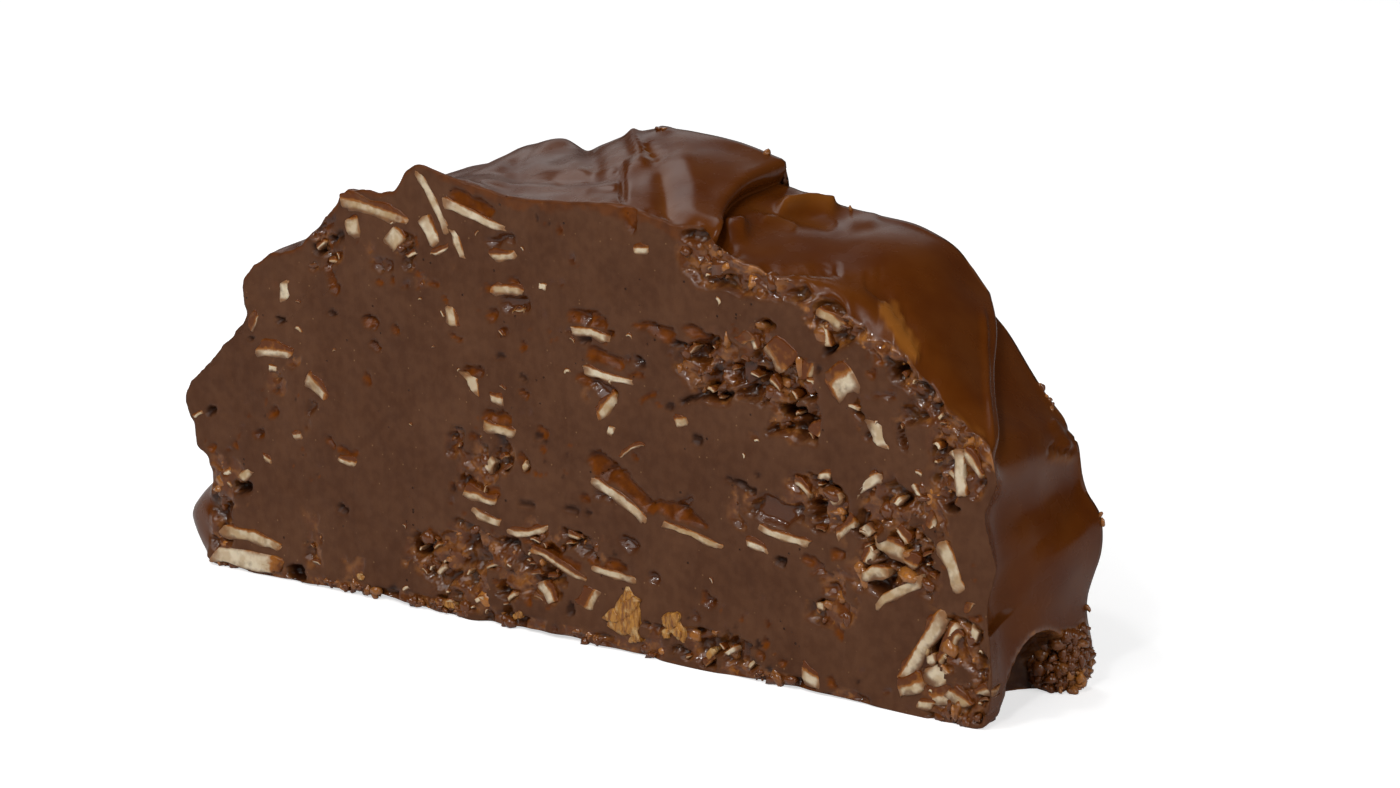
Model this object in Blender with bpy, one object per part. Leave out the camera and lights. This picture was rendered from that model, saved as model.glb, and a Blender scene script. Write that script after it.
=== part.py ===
"""A slice of chocolate almond fudge, cut from a folded loaf.

The fudge is one solid: a domed loaf section with a cut face at the front and the back, a smooth folded
skin round it and a flat base. The almond flakes that the knife went through sit in pockets of the front
face, each a solid of its own. Lengths are in millimetres, +Z is up and the front cut face looks along -Y.
"""

import math
from typing import NamedTuple

import bmesh
import bpy
import numpy as np
from mathutils import Matrix, Vector, noise

MM = 0.001

# The slice: x runs along the cut face with 0 at its lower right corner, y goes in from it, z is up.
SLICE_DEPTH = 25.0
FRAME_ORIGIN = (-70.7, 12.3, 0.0)

# Subdivisions of the body along, up and in.
CELLS_ALONG = 48
CELLS_UP = 21
CELLS_IN = 10

# The cut face's outline, clockwise from its lower left corner. The four corners split it into sides.
LEFT_SIDE = (
    (-134.5, 0.4), (-135.6, 3.0), (-135.2, 6.0), (-135.6, 9.0), (-135.0, 12.5), (-135.1, 16.0),
    (-137.3, 17.8), (-137.8, 20.8), (-139.2, 24.0), (-138.6, 26.5), (-135.0, 30.0), (-130.5, 34.6),
    (-127.2, 38.2), (-127.9, 41.0),
)
TOP_SIDE = (
    (-127.6, 43.6), (-126.0, 45.4), (-122.6, 47.9), (-119.0, 48.7), (-116.0, 50.6), (-113.5, 53.6),
    (-110.6, 55.9), (-109.0, 58.2), (-105.5, 59.3), (-99.6, 59.9), (-97.2, 62.8), (-94.6, 64.3),
    (-90.5, 63.5), (-85.0, 62.4), (-78.0, 61.6), (-70.0, 62.0), (-61.0, 62.8), (-54.0, 61.8),
    (-47.0, 60.6), (-43.0, 59.0), (-37.0, 57.0), (-30.0, 55.0), (-25.0, 53.2), (-19.0, 50.4),
    (-14.0, 48.3), (-11.0, 45.6), (-7.0, 42.6), (-3.5, 40.2),
)
RIGHT_SIDE = (
    (-0.7, 38.8), (1.0, 36.0), (1.2, 32.8), (-0.4, 29.0), (0.6, 25.0), (1.4, 21.5), (0.2, 16.5), (0.6, 11.0),
    (0.9, 6.0), (0.2, 2.0),
)
BASE_SIDE = (
    (-1.4, 0.1), (-12.0, 0.0), (-30.0, 0.4), (-46.0, 0.0), (-62.0, 0.3), (-73.0, 0.6), (-88.0, 0.0),
    (-104.0, 0.7), (-120.0, 0.2),
)
CURVE_STEPS = 24
EVEN_SAMPLES = 1200
SMOOTHING_WINDOW = 9.0
EDGE_BLEND_DEPTH = 5.0

# How far the skin stands out from the outline near a point of it, at three depths behind the cut face.
RISE_DEPTHS = (0.0, 5.0, 14.0, 25.0)
SKIN_RISES = (
    ((-135.6, 3.0), 7.4, 7.0, 2.0),
    ((-135.2, 6.0), 8.8, 8.0, 2.5),
    ((-135.6, 9.0), 5.6, 6.4, 2.5),
    ((-135.0, 12.5), 1.2, 3.0, 1.5),
    ((-135.1, 16.0), 0.8, 2.0, 1.0),
    ((-139.2, 24.0), 0.3, 0.8, -0.5),
    ((-127.9, 41.0), 0.8, 1.5, 0.5),
    ((-113.5, 53.6), 0.5, 0.6, -0.8),
    ((-105.5, 59.3), -1.6, -1.5, -0.5),
    ((-99.6, 59.9), -1.4, -1.0, 0.6),
    ((-94.6, 64.3), -2.6, -2.4, -1.1),
    ((-90.5, 63.5), -2.0, -1.5, 0.4),
    ((-85.0, 62.4), -0.6, 0.4, 1.2),
    ((-78.0, 61.6), 0.5, 2.8, 5.0),
    ((-70.0, 62.0), 0.8, 3.8, 6.6),
    ((-61.0, 62.8), 0.9, 3.6, 5.0),
    ((-54.0, 61.8), 1.0, 3.2, 4.2),
    ((-47.0, 60.6), 0.8, 1.8, 1.9),
    ((-43.0, 59.0), 0.4, 1.2, 2.6),
    ((-37.0, 57.0), 1.0, 2.6, 3.6),
    ((-30.0, 55.0), 1.8, 4.4, 5.2),
    ((-23.5, 52.5), 2.6, 5.0, 5.2),
    ((-18.0, 50.0), 2.6, 3.6, 1.6),
    ((-11.0, 45.6), 1.8, 1.0, -0.6),
    ((-5.0, 41.3), 0.8, -1.0, -2.8),
    ((1.0, 36.0), -0.6, -1.8, -4.6),
    ((-0.2, 30.0), -0.8, -0.6, -0.8),
    ((1.4, 21.5), -1.6, 0.6, 1.3),
    ((0.2, 16.5), -2.0, 0.2, 0.8),
    ((0.6, 11.0), -1.6, -1.2, -1.4),
    ((0.2, 2.0), -0.6, -0.4, 0.6),
)


class Fold(NamedTuple):
    """A lip of the skin from the cut edge to the back: raised on one side and sunk on the other."""

    front: tuple
    back: tuple
    height: float
    reach: float
    drop: float


FOLDS = (
    Fold((-43.5, 59.2), (-51.6, 61.4), 1.3, 9.0, 1.4),
    Fold((1.0, 36.0), (-17.0, 49.7), 1.1, 6.0, 1.5),
)
FOLD_STEP = 4.0
FOLD_SHADE = 4.5
FOLD_START = 4.0

# The lower right end is hollow underneath, between the front corner and the foot at the back.
UNDERCUT_CENTRE = (4.0, 11.2, -0.5)
UNDERCUT_RADII = (11.5, 6.9, 10.8)

# Places on the cut face where it broke up into crumbs: x, z, half width, half height, roughness.
CRUMB_ZONES = (
    (-90.0, 7.5, 12.0, 6.5, 1.5),
    (-47.0, 3.5, 13.0, 3.0, 1.0),
    (-42.0, 56.5, 10.0, 3.2, 1.5),
    (-37.0, 41.5, 12.0, 7.0, 1.9),
    (-14.0, 23.0, 10.0, 7.5, 1.4),
    (-5.0, 7.0, 5.5, 7.5, 1.4),
)
CRUMB_SIZE = 3.1
CRUMB_CORE = 0.55
CRUMB_FADE = 0.5
CRUMB_DEPTH = 0.55
FACE_WAVE = 0.25
FACE_WAVE_SIZE = 17.0

POCKET_GAP = 0.3
POCKET_MOUTH = 4.0
HOLLOW_LENGTH = 0.86
HOLLOW_HEIGHT = 1.35
HOLLOW_DEPTH = 4.4
SLAB_SEAT_DROP = 1.0
FLAKE_PROUD = 0.45
FLAKE_SIDES = 9
FLAKE_ROUNDING = 0.8
CHIP_DEPTH = 3.2
CHIP_INSET = 1.0
CHIP_SPREAD = 1.28

FUDGE_BROWN = (0.088, 0.045, 0.026, 1.0)
ALMOND_CREAM = (0.56, 0.45, 0.29, 1.0)
WAFER_GOLD = (0.42, 0.22, 0.06, 1.0)


class Flake(NamedTuple):
    """A cut almond flake: its middle on the face, its size, its turn and the height of the gap over it."""

    x: float
    z: float
    length: float
    thickness: float
    tilt: float
    reach: float
    dip: float
    hollow: float = 0.0


# The flakes that are large enough to be pieces of their own, from left to right.
FLAKES = (
    Flake(-128.4, 1.75, 13.6, 2.5, -1.0, 7.0, 0.0),
    Flake(-127.2, 5.4, 11.2, 1.5, -6.0, 6.0, 4.0),
    Flake(-122.0, 33.9, 7.0, 1.9, 7.0, 4.5, -12.0),
    Flake(-103.2, 57.0, 12.2, 1.8, -5.0, 6.0, 0.0),
    Flake(-92.6, 59.2, 8.4, 1.0, -57.0, 5.0, 0.0),
    Flake(-85.2, 58.2, 11.4, 1.2, -12.0, 5.5, -10.0, 2.6),
    Flake(-83.4, 15.7, 5.2, 1.1, -14.0, 4.5, 6.0),
    Flake(-84.6, 18.5, 6.0, 1.4, -3.0, 4.5, -5.0, 1.8),
    Flake(-81.0, 28.5, 5.6, 1.3, -4.0, 4.5, -10.0, 1.9),
    Flake(-79.6, 48.4, 5.6, 1.2, 3.0, 4.5, 5.0),
    Flake(-76.2, 14.8, 7.2, 1.0, 11.0, 5.0, 0.0),
    Flake(-70.8, 10.8, 10.6, 1.1, -17.0, 5.0, -12.0, 2.4),
    Flake(-65.0, 44.2, 7.0, 1.0, -4.0, 5.0, 0.0),
    Flake(-62.0, 38.9, 9.0, 1.0, -5.0, 5.0, -6.0, 2.3),
    Flake(-61.2, 11.0, 7.8, 0.9, -4.0, 5.0, -8.0, 1.5),
    Flake(-60.4, 21.6, 10.4, 1.3, -26.0, 6.0, -12.0, 3.0),
    Flake(-47.6, 18.8, 10.0, 1.1, -9.0, 6.0, -12.0, 2.4),
    Flake(-32.3, 21.2, 8.6, 0.9, -8.0, 5.0, 0.0),
    Flake(-19.7, 30.0, 6.2, 1.3, 34.0, 4.5, 0.0),
    Flake(-13.8, 16.2, 9.2, 1.2, 33.0, 5.0, 0.0),
    Flake(-10.4, 9.7, 12.0, 1.9, 57.0, 6.0, 0.0),
    Flake(-6.2, 10.5, 6.2, 1.6, 55.0, 5.0, 0.0),
    Flake(-5.6, 21.2, 7.2, 1.7, -63.0, 5.0, 0.0),
    Flake(-4.3, 33.6, 5.4, 1.4, -86.0, 4.0, 0.0),
    Flake(-7.2, 3.1, 9.2, 2.4, 8.0, 5.0, 0.0),
)
WAFER = Flake(-60.4, 6.3, 6.2, 2.8, -10.0, 4.0, 0.0)

# Small chips of almond fused to the face: x, z, length, width, tilt.
CHIPS = (
    (-120.0, 42.9, 3.0, 1.7, -85.0), (-114.2, 29.6, 4.8, 1.7, -34.0), (-108.9, 19.6, 3.6, 1.3, -3.0),
    (-107.0, 53.8, 2.8, 2.0, 10.0), (-99.4, 53.2, 2.9, 2.6, -40.0), (-93.0, 54.4, 3.4, 1.7, -62.0),
    (-89.3, 43.4, 3.0, 1.6, -75.0), (-88.0, 53.4, 3.2, 1.2, -68.0), (-85.7, 34.6, 2.8, 2.1, -70.0),
    (-80.4, 53.6, 4.6, 1.3, 12.0), (-72.8, 6.4, 3.4, 2.2, -55.0), (-65.6, 6.9, 3.6, 2.6, 60.0),
    (-56.3, 57.2, 2.8, 1.2, 4.0), (-51.0, 5.4, 4.0, 2.4, 20.0), (-36.9, 18.4, 3.4, 1.4, -5.0),
    (-33.4, 45.4, 4.2, 3.0, -50.0), (-28.0, 2.4, 3.0, 1.9, -20.0), (-25.6, 51.4, 4.0, 1.6, -32.0),
    (-24.3, 43.6, 4.8, 3.6, 35.0), (-18.4, 19.2, 3.6, 1.6, 16.0), (-17.8, 37.5, 4.0, 1.9, -68.0),
    (-16.6, 23.6, 4.2, 2.2, -12.0),
)

# Open pits on the face: x, z, width, height, how deep.
PITS = (
    (-129.0, 12.8, 3.0, 2.2, 2.0), (-134.4, 22.8, 2.2, 1.4, 1.2), (-122.5, 24.5, 1.8, 1.8, 1.2),
    (-121.0, 38.5, 2.4, 1.2, 1.2), (-119.4, 1.9, 3.0, 1.8, 2.4), (-113.8, 49.5, 1.8, 1.8, 1.4),
    (-104.2, 40.5, 2.4, 1.8, 1.4), (-104.5, 31.9, 1.6, 1.8, 1.2), (-96.0, 9.0, 4.2, 2.4, 2.4),
    (-87.5, 23.4, 4.4, 4.4, 1.6), (-77.8, 45.4, 3.4, 2.6, 2.2), (-76.8, 24.2, 1.9, 2.1, 1.4),
    (-65.7, 46.7, 6.8, 1.6, 2.0), (-63.5, 36.2, 4.6, 2.4, 2.6), (-58.0, 61.6, 3.0, 4.6, 1.8),
    (-54.2, 46.6, 7.0, 1.6, 2.0), (-47.5, 44.5, 5.0, 4.0, 3.0), (-39.5, 41.5, 4.6, 4.4, 3.0),
    (-33.5, 25.2, 4.8, 4.2, 1.8), (-30.6, 38.2, 4.6, 3.2, 3.4), (-26.4, 25.6, 2.6, 4.2, 1.8),
    (-24.2, 14.6, 3.0, 2.4, 1.4), (-6.0, 29.2, 3.0, 1.6, 2.4), (-3.0, 15.2, 2.6, 1.6, 1.6),
)


def clear_scene():
    for obj in list(bpy.data.objects):
        bpy.data.objects.remove(obj)


def to_frame(points):
    """Millimetres from the cut face's corner to metres from the frame's origin."""
    return (np.asarray(points, float) - np.array(FRAME_ORIGIN)) * MM


def smooth_step(value):
    value = np.clip(value, 0.0, 1.0)
    return value * value * (3.0 - 2.0 * value)


class Outline:
    """The slice's closed outline at any depth, a Catmull-Rom curve through the points of the cut face."""

    def __init__(self):
        sides = (LEFT_SIDE, TOP_SIDE, RIGHT_SIDE, BASE_SIDE)
        points = np.array([p for side in sides for p in side])
        self.sharp = self.through(points)
        self.corners = np.cumsum([0] + [len(side) for side in sides]) * CURVE_STEPS
        steps = np.linalg.norm(np.diff(np.vstack([self.sharp, self.sharp[:1]]), axis=0), axis=1)
        self.along = np.concatenate([[0.0], np.cumsum(steps)])
        self.soft = self.averaged()
        ahead = np.roll(self.soft, -CURVE_STEPS // 2, axis=0) - np.roll(self.soft, CURVE_STEPS // 2, axis=0)
        ahead /= np.linalg.norm(ahead, axis=1)[:, None]
        self.outward = np.stack([-ahead[:, 1], ahead[:, 0]], axis=1)
        self.rises = self.rise_stations()

    @staticmethod
    def through(points):
        before, after, beyond = np.roll(points, 1, 0), np.roll(points, -1, 0), np.roll(points, -2, 0)
        t = np.arange(CURVE_STEPS)[:, None, None] / CURVE_STEPS
        curve = 0.5 * (
            2 * points + (after - before) * t + (2 * before - 5 * points + 4 * after - beyond) * t**2
            + (3 * points - before - 3 * after + beyond) * t**3
        )
        return curve.transpose(1, 0, 2).reshape(-1, 2)

    def averaged(self):
        """The outline with its small bumps averaged away, except on the base, which stays flat."""
        total = self.along[-1]
        even = np.linspace(0.0, total, EVEN_SAMPLES, endpoint=False)
        closed = np.vstack([self.sharp, self.sharp[:1]])
        xz = np.stack([np.interp(even, self.along, closed[:, i]) for i in (0, 1)], axis=1)
        half = int(SMOOTHING_WINDOW / total * len(even) / 2)
        weights = np.hanning(2 * half + 3)[1:-1]
        weights /= weights.sum()
        wrapped = np.vstack([xz[-half:], xz, xz[:half]])
        smooth = np.stack([np.convolve(wrapped[:, i], weights, "valid") for i in (0, 1)], axis=1)
        soft = np.stack(
            [np.interp(self.along[:-1], even, smooth[:, i], period=total) for i in (0, 1)], axis=1
        )
        base = self.corners[3]
        soft[base:, 0] = self.sharp[base:, 0]
        soft[base:, 1] = 0.0
        return soft

    def rise_stations(self):
        """The skin's rise at three depths for each point of the curve, zero on the base."""
        places, values = [], []
        for near, *rises in SKIN_RISES:
            places.append(self.along[self.nearest(near)])
            values.append(rises)
        base_start, total = self.along[self.corners[3]], self.along[-1]
        places = [0.0] + places + [base_start, total]
        values = [[0.0] * 3] + values + [[0.0] * 3] * 2
        return np.array([np.interp(self.along[:-1], places, column) for column in np.array(values).T])

    def at(self, place, depth):
        """Points of the outline at a place on the curve, counted in curve steps, and a depth from 0 to 1."""
        inward = depth * SLICE_DEPTH
        blend = smooth_step(inward / EDGE_BLEND_DEPTH)
        index = np.arange(len(self.sharp) + 1)

        def read(column):
            return np.interp(place, index, np.append(column, column[0]))

        rises = [np.zeros_like(place)] + [read(station) for station in self.rises]
        rise = self.folds(place, inward)
        for low, (near, far) in enumerate(zip(RISE_DEPTHS, RISE_DEPTHS[1:])):
            t = smooth_step((inward - near) / (far - near))
            inside = (inward > near) & (inward <= far)
            rise += np.where(inside, rises[low] * (1 - t) + rises[low + 1] * t, 0.0)
        sharp = np.stack([read(self.sharp[:, i]) for i in (0, 1)], axis=-1)
        soft = np.stack([read(self.soft[:, i]) for i in (0, 1)], axis=-1)
        outward = np.stack([read(self.outward[:, i]) for i in (0, 1)], axis=-1)
        return sharp * (1 - blend)[..., None] + soft * blend[..., None] + outward * rise[..., None]

    def nearest(self, point):
        return np.argmin(np.linalg.norm(self.sharp - np.array(point), axis=1))

    def folds(self, place, inward):
        """The rise and the drop on the two sides of each fold's lip, none at the cut edge itself."""
        length = np.interp(place, np.arange(len(self.along)), self.along)
        total = np.zeros_like(place)
        for fold in FOLDS:
            front, back = self.along[self.nearest(fold.front)], self.along[self.nearest(fold.back)]
            before = front + (back - front) * inward / SLICE_DEPTH - length
            raised = smooth_step(before / FOLD_STEP + 0.5)
            total += raised * fold.height * np.exp(-np.clip(before, 0, None) / fold.reach)
            total -= (1 - raised) * fold.drop * np.exp(np.clip(before, None, 0) / FOLD_SHADE)
        return total * smooth_step(inward / FOLD_START)

    def side_place(self, side, share, backwards=False):
        """The place on the curve at a share, by length, of one of the four sides."""
        first, last = self.corners[side], self.corners[side + 1]
        share = 1 - share if backwards else share
        wanted = self.along[first] + share * (self.along[last] - self.along[first])
        return np.interp(wanted, self.along, np.arange(len(self.along)))


def filled_patch(outline, u, v, depth):
    """A Coons patch: the outline's four sides blended across the slice, for u along, v up and depth in."""
    left = outline.at(outline.side_place(0, v), depth)
    top = outline.at(outline.side_place(1, u), depth)
    right = outline.at(outline.side_place(2, v, backwards=True), depth)
    base = outline.at(outline.side_place(3, u, backwards=True), depth)
    low_left, high_left, high_right, low_right = (
        outline.at(np.full_like(u, float(corner)), depth) for corner in outline.corners[:4]
    )
    u, v = u[:, None], v[:, None]
    across = (1 - u) * left + u * right
    upward = (1 - v) * base + v * top
    corners = (1 - v) * ((1 - u) * low_left + u * low_right) + v * ((1 - u) * high_left + u * high_right)
    return across + upward - corners


def push_out(points, centre, radii):
    """Moves the points inside an ellipsoid out to its surface, which hollows the solid."""
    centre, radii = np.array(centre), np.array(radii)
    away = (points - centre) / radii
    length = np.linalg.norm(away, axis=1)[:, None]
    return np.where(length < 1.0, centre + away / np.maximum(length, 1e-6) * radii, points)


def flat_noise(x, z, size, slice_at):
    """Smooth noise over the face, with lumps of a size, read from one slice of the 3D noise."""
    return np.array([noise.noise(Vector((a / size, slice_at, b / size))) for a, b in zip(x, z)])


def crumb_relief(x, z):
    """How far the face is sunk at a point: noise inside the crumbled zones and a slow wave elsewhere."""
    sunk = FACE_WAVE * flat_noise(x, z, FACE_WAVE_SIZE, 3.7)
    for zone_x, zone_z, half_width, half_height, rough in CRUMB_ZONES:
        reach = np.hypot((x - zone_x) / half_width, (z - zone_z) / half_height)
        bumps = flat_noise(x, z, CRUMB_SIZE, 9.1)
        sunk += (1 - smooth_step((reach - CRUMB_CORE) / CRUMB_FADE)) * rough * (CRUMB_DEPTH + bumps)
    return sunk


def shape_body(outline, grid):
    """Maps a unit block, already cut into cells, onto the slice."""
    u, w, v = (grid + 0.5).T
    points = np.zeros_like(grid)
    points[:, [0, 2]] = filled_patch(outline, u, v, w)
    points[:, 1] = w * SLICE_DEPTH
    points[(v < 1e-3) & (w > 0.06) & (w < 0.94), 2] = 0.0
    points = push_out(points, UNDERCUT_CENTRE, UNDERCUT_RADII)
    points[:, 2] = np.maximum(points[:, 2], 0.0)
    inner = (u > 1e-3) & (u < 0.999) & (v > 1e-3) & (v < 0.999)
    front, rear = inner & (w < 1e-3), inner & (w > 0.999)
    points[front, 1] += crumb_relief(points[front, 0], points[front, 2])
    points[rear, 1] -= crumb_relief(-140.0 - points[rear, 0], points[rear, 2])
    return points


def make_material(name, colour, roughness):
    material = bpy.data.materials.new(name)
    material.use_nodes = True
    shader = material.node_tree.nodes["Principled BSDF"]
    shader.inputs["Base Color"].default_value = colour
    shader.inputs["Roughness"].default_value = roughness
    material.diffuse_color = colour
    return material


def add_object(name, data, collection, material=None):
    obj = bpy.data.objects.new(name, data)
    collection.objects.link(obj)
    if material:
        data.materials.append(material)
    return obj


def make_body(outline, collection, material):
    """The fudge: a cube cut into cells along each of its directions, then shaped."""
    mesh = bpy.data.meshes.new("fudge")
    bm = bmesh.new()
    bmesh.ops.create_cube(bm, size=1.0)
    for axis, cells in ((0, CELLS_ALONG), (2, CELLS_UP), (1, CELLS_IN)):
        edges = [e for e in bm.edges if abs((e.verts[0].co - e.verts[1].co)[axis]) > 1e-6]
        bmesh.ops.subdivide_edges(bm, edges=edges, cuts=cells - 1, use_grid_fill=True)
    grid = np.array([v.co for v in bm.verts])
    for vert, place in zip(bm.verts, to_frame(shape_body(outline, grid))):
        vert.co = place
    bm.to_mesh(mesh)
    bm.free()
    return add_object("fudge", mesh, collection, material)


def flake_mesh(flake, margin=0.0, mouth=0.0):
    """A half-round plate, flat side to the front: a filled 2D curve given its thickness, made a mesh."""
    half, reach = flake.length / 2 + margin, flake.reach + margin
    front = -FLAKE_PROUD - mouth
    angles = [math.pi * i / FLAKE_SIDES for i in range(FLAKE_SIDES + 1)]
    outline = [(half * math.cos(a), reach * math.sin(a) ** FLAKE_ROUNDING) for a in angles]
    outline = [(half, front)] + outline + [(-half, front)]
    curve = bpy.data.curves.new("flake_outline", "CURVE")
    curve.dimensions = "2D"
    curve.fill_mode = "BOTH"
    curve.extrude = (flake.thickness / 2 + margin) * MM
    spline = curve.splines.new("POLY")
    spline.points.add(len(outline) - 1)
    for point, (a, b) in zip(spline.points, outline):
        point.co = (a * MM, b * MM, 0.0, 1.0)
    spline.use_cyclic_u = True
    holder = bpy.data.objects.new("flake_outline", curve)
    bpy.context.scene.collection.objects.link(holder)
    bpy.context.view_layer.update()
    mesh = bpy.data.meshes.new_from_object(holder.evaluated_get(bpy.context.evaluated_depsgraph_get()))
    bpy.data.objects.remove(holder)
    bm = bmesh.new()
    bm.from_mesh(mesh)
    bmesh.ops.remove_doubles(bm, verts=bm.verts, dist=1e-6)
    bmesh.ops.recalc_face_normals(bm, faces=bm.faces)
    bm.to_mesh(mesh)
    bm.free()
    return mesh


def place_flake(obj, flake):
    obj.location = to_frame((flake.x, 0.0, flake.z))
    obj.rotation_euler = (math.radians(flake.dip), math.radians(-flake.tilt), 0.0)


def blob_mesh(name, subdivisions):
    mesh = bpy.data.meshes.new(name)
    bm = bmesh.new()
    bmesh.ops.create_icosphere(bm, subdivisions=subdivisions, radius=1.0)
    bm.to_mesh(mesh)
    bm.free()
    return mesh


def place_blob(obj, x, z, size, tilt=0.0, lift=0.0, inset=0.0):
    """Sets an ellipsoid of full size (along, in, up) on the face: raised along its own up, and let in."""
    turn = Matrix.Rotation(math.radians(-tilt), 4, "Y")
    scale = Matrix.Diagonal((size[0] / 2 * MM, size[1] / 2 * MM, size[2] / 2 * MM, 1.0))
    spot = Matrix.Translation(Vector(to_frame((x, inset, z))))
    obj.data = obj.data.copy()
    obj.data.transform(spot @ turn @ Matrix.Translation((0.0, 0.0, lift * MM)) @ scale)


def combine(body, helpers, operation):
    """Joins or cuts the body with a whole collection at once, applies it and removes the helpers."""
    modifier = body.modifiers.new(operation.lower(), "BOOLEAN")
    modifier.operation = operation
    modifier.operand_type = "COLLECTION"
    modifier.collection = helpers
    modifier.solver = "EXACT"
    bpy.context.view_layer.update()
    joined = bpy.data.meshes.new_from_object(body.evaluated_get(bpy.context.evaluated_depsgraph_get()))
    body.modifiers.clear()
    body.data = joined
    for obj in list(helpers.objects):
        bpy.data.objects.remove(obj)


def add_chips(body, helpers):
    """Fuses the small chips to the face as low facetted blobs, a little proud of it."""
    blob = blob_mesh("chip", 1)
    for number, (x, z, length, width, tilt) in enumerate(CHIPS):
        chip = add_object(f"chip_{number:02d}", blob, helpers)
        size = (length * CHIP_SPREAD, CHIP_DEPTH, width * CHIP_SPREAD)
        place_blob(chip, x, z, size, tilt, inset=CHIP_INSET)
    combine(body, helpers, "UNION")


def cut_hollows(body, helpers):
    """Cuts the pockets that the flakes sit in, the gaps left above some of them, and the open pits."""
    blob = blob_mesh("pit", 2)
    for number, flake in enumerate(FLAKES + (WAFER,)):
        pocket = add_object(f"pocket_{number:02d}", flake_mesh(flake, POCKET_GAP, POCKET_MOUTH), helpers)
        place_flake(pocket, flake)
        if flake.hollow:
            gap = add_object(f"gap_{number:02d}", blob, helpers)
            size = (flake.length * HOLLOW_LENGTH, HOLLOW_DEPTH, flake.hollow * HOLLOW_HEIGHT)
            place_blob(gap, flake.x, flake.z, size, flake.tilt, (flake.thickness + flake.hollow) / 2)
    for number, (x, z, width, height, deep) in enumerate(PITS):
        pit = add_object(f"pit_{number:02d}", blob, helpers)
        place_blob(pit, x, z, (width, deep * 2, height))
    # The lowest flake lies right at the base, so its pocket is open downwards too.
    seat = add_object("slab_seat", flake_mesh(FLAKES[0], POCKET_GAP, POCKET_MOUTH), helpers)
    place_flake(seat, FLAKES[0]._replace(z=FLAKES[0].z - SLAB_SEAT_DROP))
    combine(body, helpers, "DIFFERENCE")


def main():
    clear_scene()
    parts = bpy.data.collections.new("chocolate_almond_fudge")
    helpers = bpy.data.collections.new("helpers")
    for collection in (parts, helpers):
        bpy.context.scene.collection.children.link(collection)
    fudge_material = make_material("fudge", FUDGE_BROWN, 0.45)
    almond_material = make_material("almond", ALMOND_CREAM, 0.6)
    wafer_material = make_material("wafer", WAFER_GOLD, 0.7)
    body = make_body(Outline(), parts, fudge_material)
    add_chips(body, helpers)
    cut_hollows(body, helpers)
    for number, flake in enumerate(FLAKES, start=1):
        almond = add_object(f"almond_{number:02d}", flake_mesh(flake), parts, almond_material)
        place_flake(almond, flake)
    wafer = add_object("wafer_piece", flake_mesh(WAFER), parts, wafer_material)
    place_flake(wafer, WAFER)
    bpy.data.collections.remove(helpers)


main()
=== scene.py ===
"""The looks of a slice of chocolate almond fudge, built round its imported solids.

Lengths in the tables are in millimetres, measured as in the solids: x along the cut face with 0 at its lower
right corner, y into the slice from the cut face, z up. to_frame() turns them into the frame's metres.
"""

import itertools
import logging
import math
from dataclasses import dataclass, replace
from enum import Enum

import bpy
import numpy as np
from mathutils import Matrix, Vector

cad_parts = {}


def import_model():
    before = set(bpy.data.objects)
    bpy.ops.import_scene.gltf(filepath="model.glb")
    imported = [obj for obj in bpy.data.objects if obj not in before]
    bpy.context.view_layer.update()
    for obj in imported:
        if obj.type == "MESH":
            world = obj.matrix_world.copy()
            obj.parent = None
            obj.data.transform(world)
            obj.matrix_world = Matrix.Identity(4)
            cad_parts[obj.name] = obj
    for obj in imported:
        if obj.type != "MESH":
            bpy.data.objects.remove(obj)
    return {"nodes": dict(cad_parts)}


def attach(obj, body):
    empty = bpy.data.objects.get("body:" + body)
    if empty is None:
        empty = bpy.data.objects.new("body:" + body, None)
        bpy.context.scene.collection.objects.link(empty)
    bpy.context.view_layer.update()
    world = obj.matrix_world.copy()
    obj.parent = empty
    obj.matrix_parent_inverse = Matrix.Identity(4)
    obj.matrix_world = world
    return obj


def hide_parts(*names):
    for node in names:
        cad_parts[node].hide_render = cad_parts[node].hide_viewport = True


LOG = logging.getLogger("fudge")
MM = 0.001
Array = np.ndarray
Pair = tuple[float, float]
Triple = tuple[float, float, float]
Socket = bpy.types.NodeSocket

SLICE_DEPTH = 25.0
FACE_TURN = -140.0
FRAME_ORIGIN = (-70.7, 12.3, 0.0)

LEFT_SIDE = (
    (-134.5, 0.4), (-135.6, 3.0), (-135.2, 6.0), (-135.6, 9.0), (-135.0, 12.5), (-135.1, 16.0),
    (-137.3, 17.8), (-137.8, 20.8), (-139.2, 24.0), (-138.6, 26.5), (-135.0, 30.0), (-130.5, 34.6),
    (-127.2, 38.2), (-127.9, 41.0),
)
TOP_SIDE = (
    (-127.6, 43.6), (-126.0, 45.4), (-122.6, 47.9), (-119.0, 48.7), (-116.0, 50.6), (-113.5, 53.6),
    (-110.6, 55.9), (-109.0, 58.2), (-105.5, 59.3), (-99.6, 59.9), (-97.2, 62.8), (-94.6, 64.3),
    (-90.5, 63.5), (-85.0, 62.4), (-78.0, 61.6), (-70.0, 62.0), (-61.0, 62.8), (-54.0, 61.8),
    (-47.0, 60.6), (-43.0, 59.0), (-37.0, 57.0), (-30.0, 55.0), (-25.0, 53.2), (-19.0, 50.4),
    (-14.0, 48.3), (-11.0, 45.6), (-7.0, 42.6), (-3.5, 40.2),
)
RIGHT_SIDE = (
    (-0.7, 38.8), (1.0, 36.0), (1.2, 32.8), (-0.4, 29.0), (0.6, 25.0), (1.4, 21.5), (0.2, 16.5),
    (0.6, 11.0), (0.9, 6.0), (0.2, 2.0),
)
BASE_SIDE = (
    (-1.4, 0.1), (-12.0, 0.0), (-30.0, 0.4), (-46.0, 0.0), (-62.0, 0.3), (-73.0, 0.6), (-88.0, 0.0),
    (-104.0, 0.7), (-120.0, 0.2),
)
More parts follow.
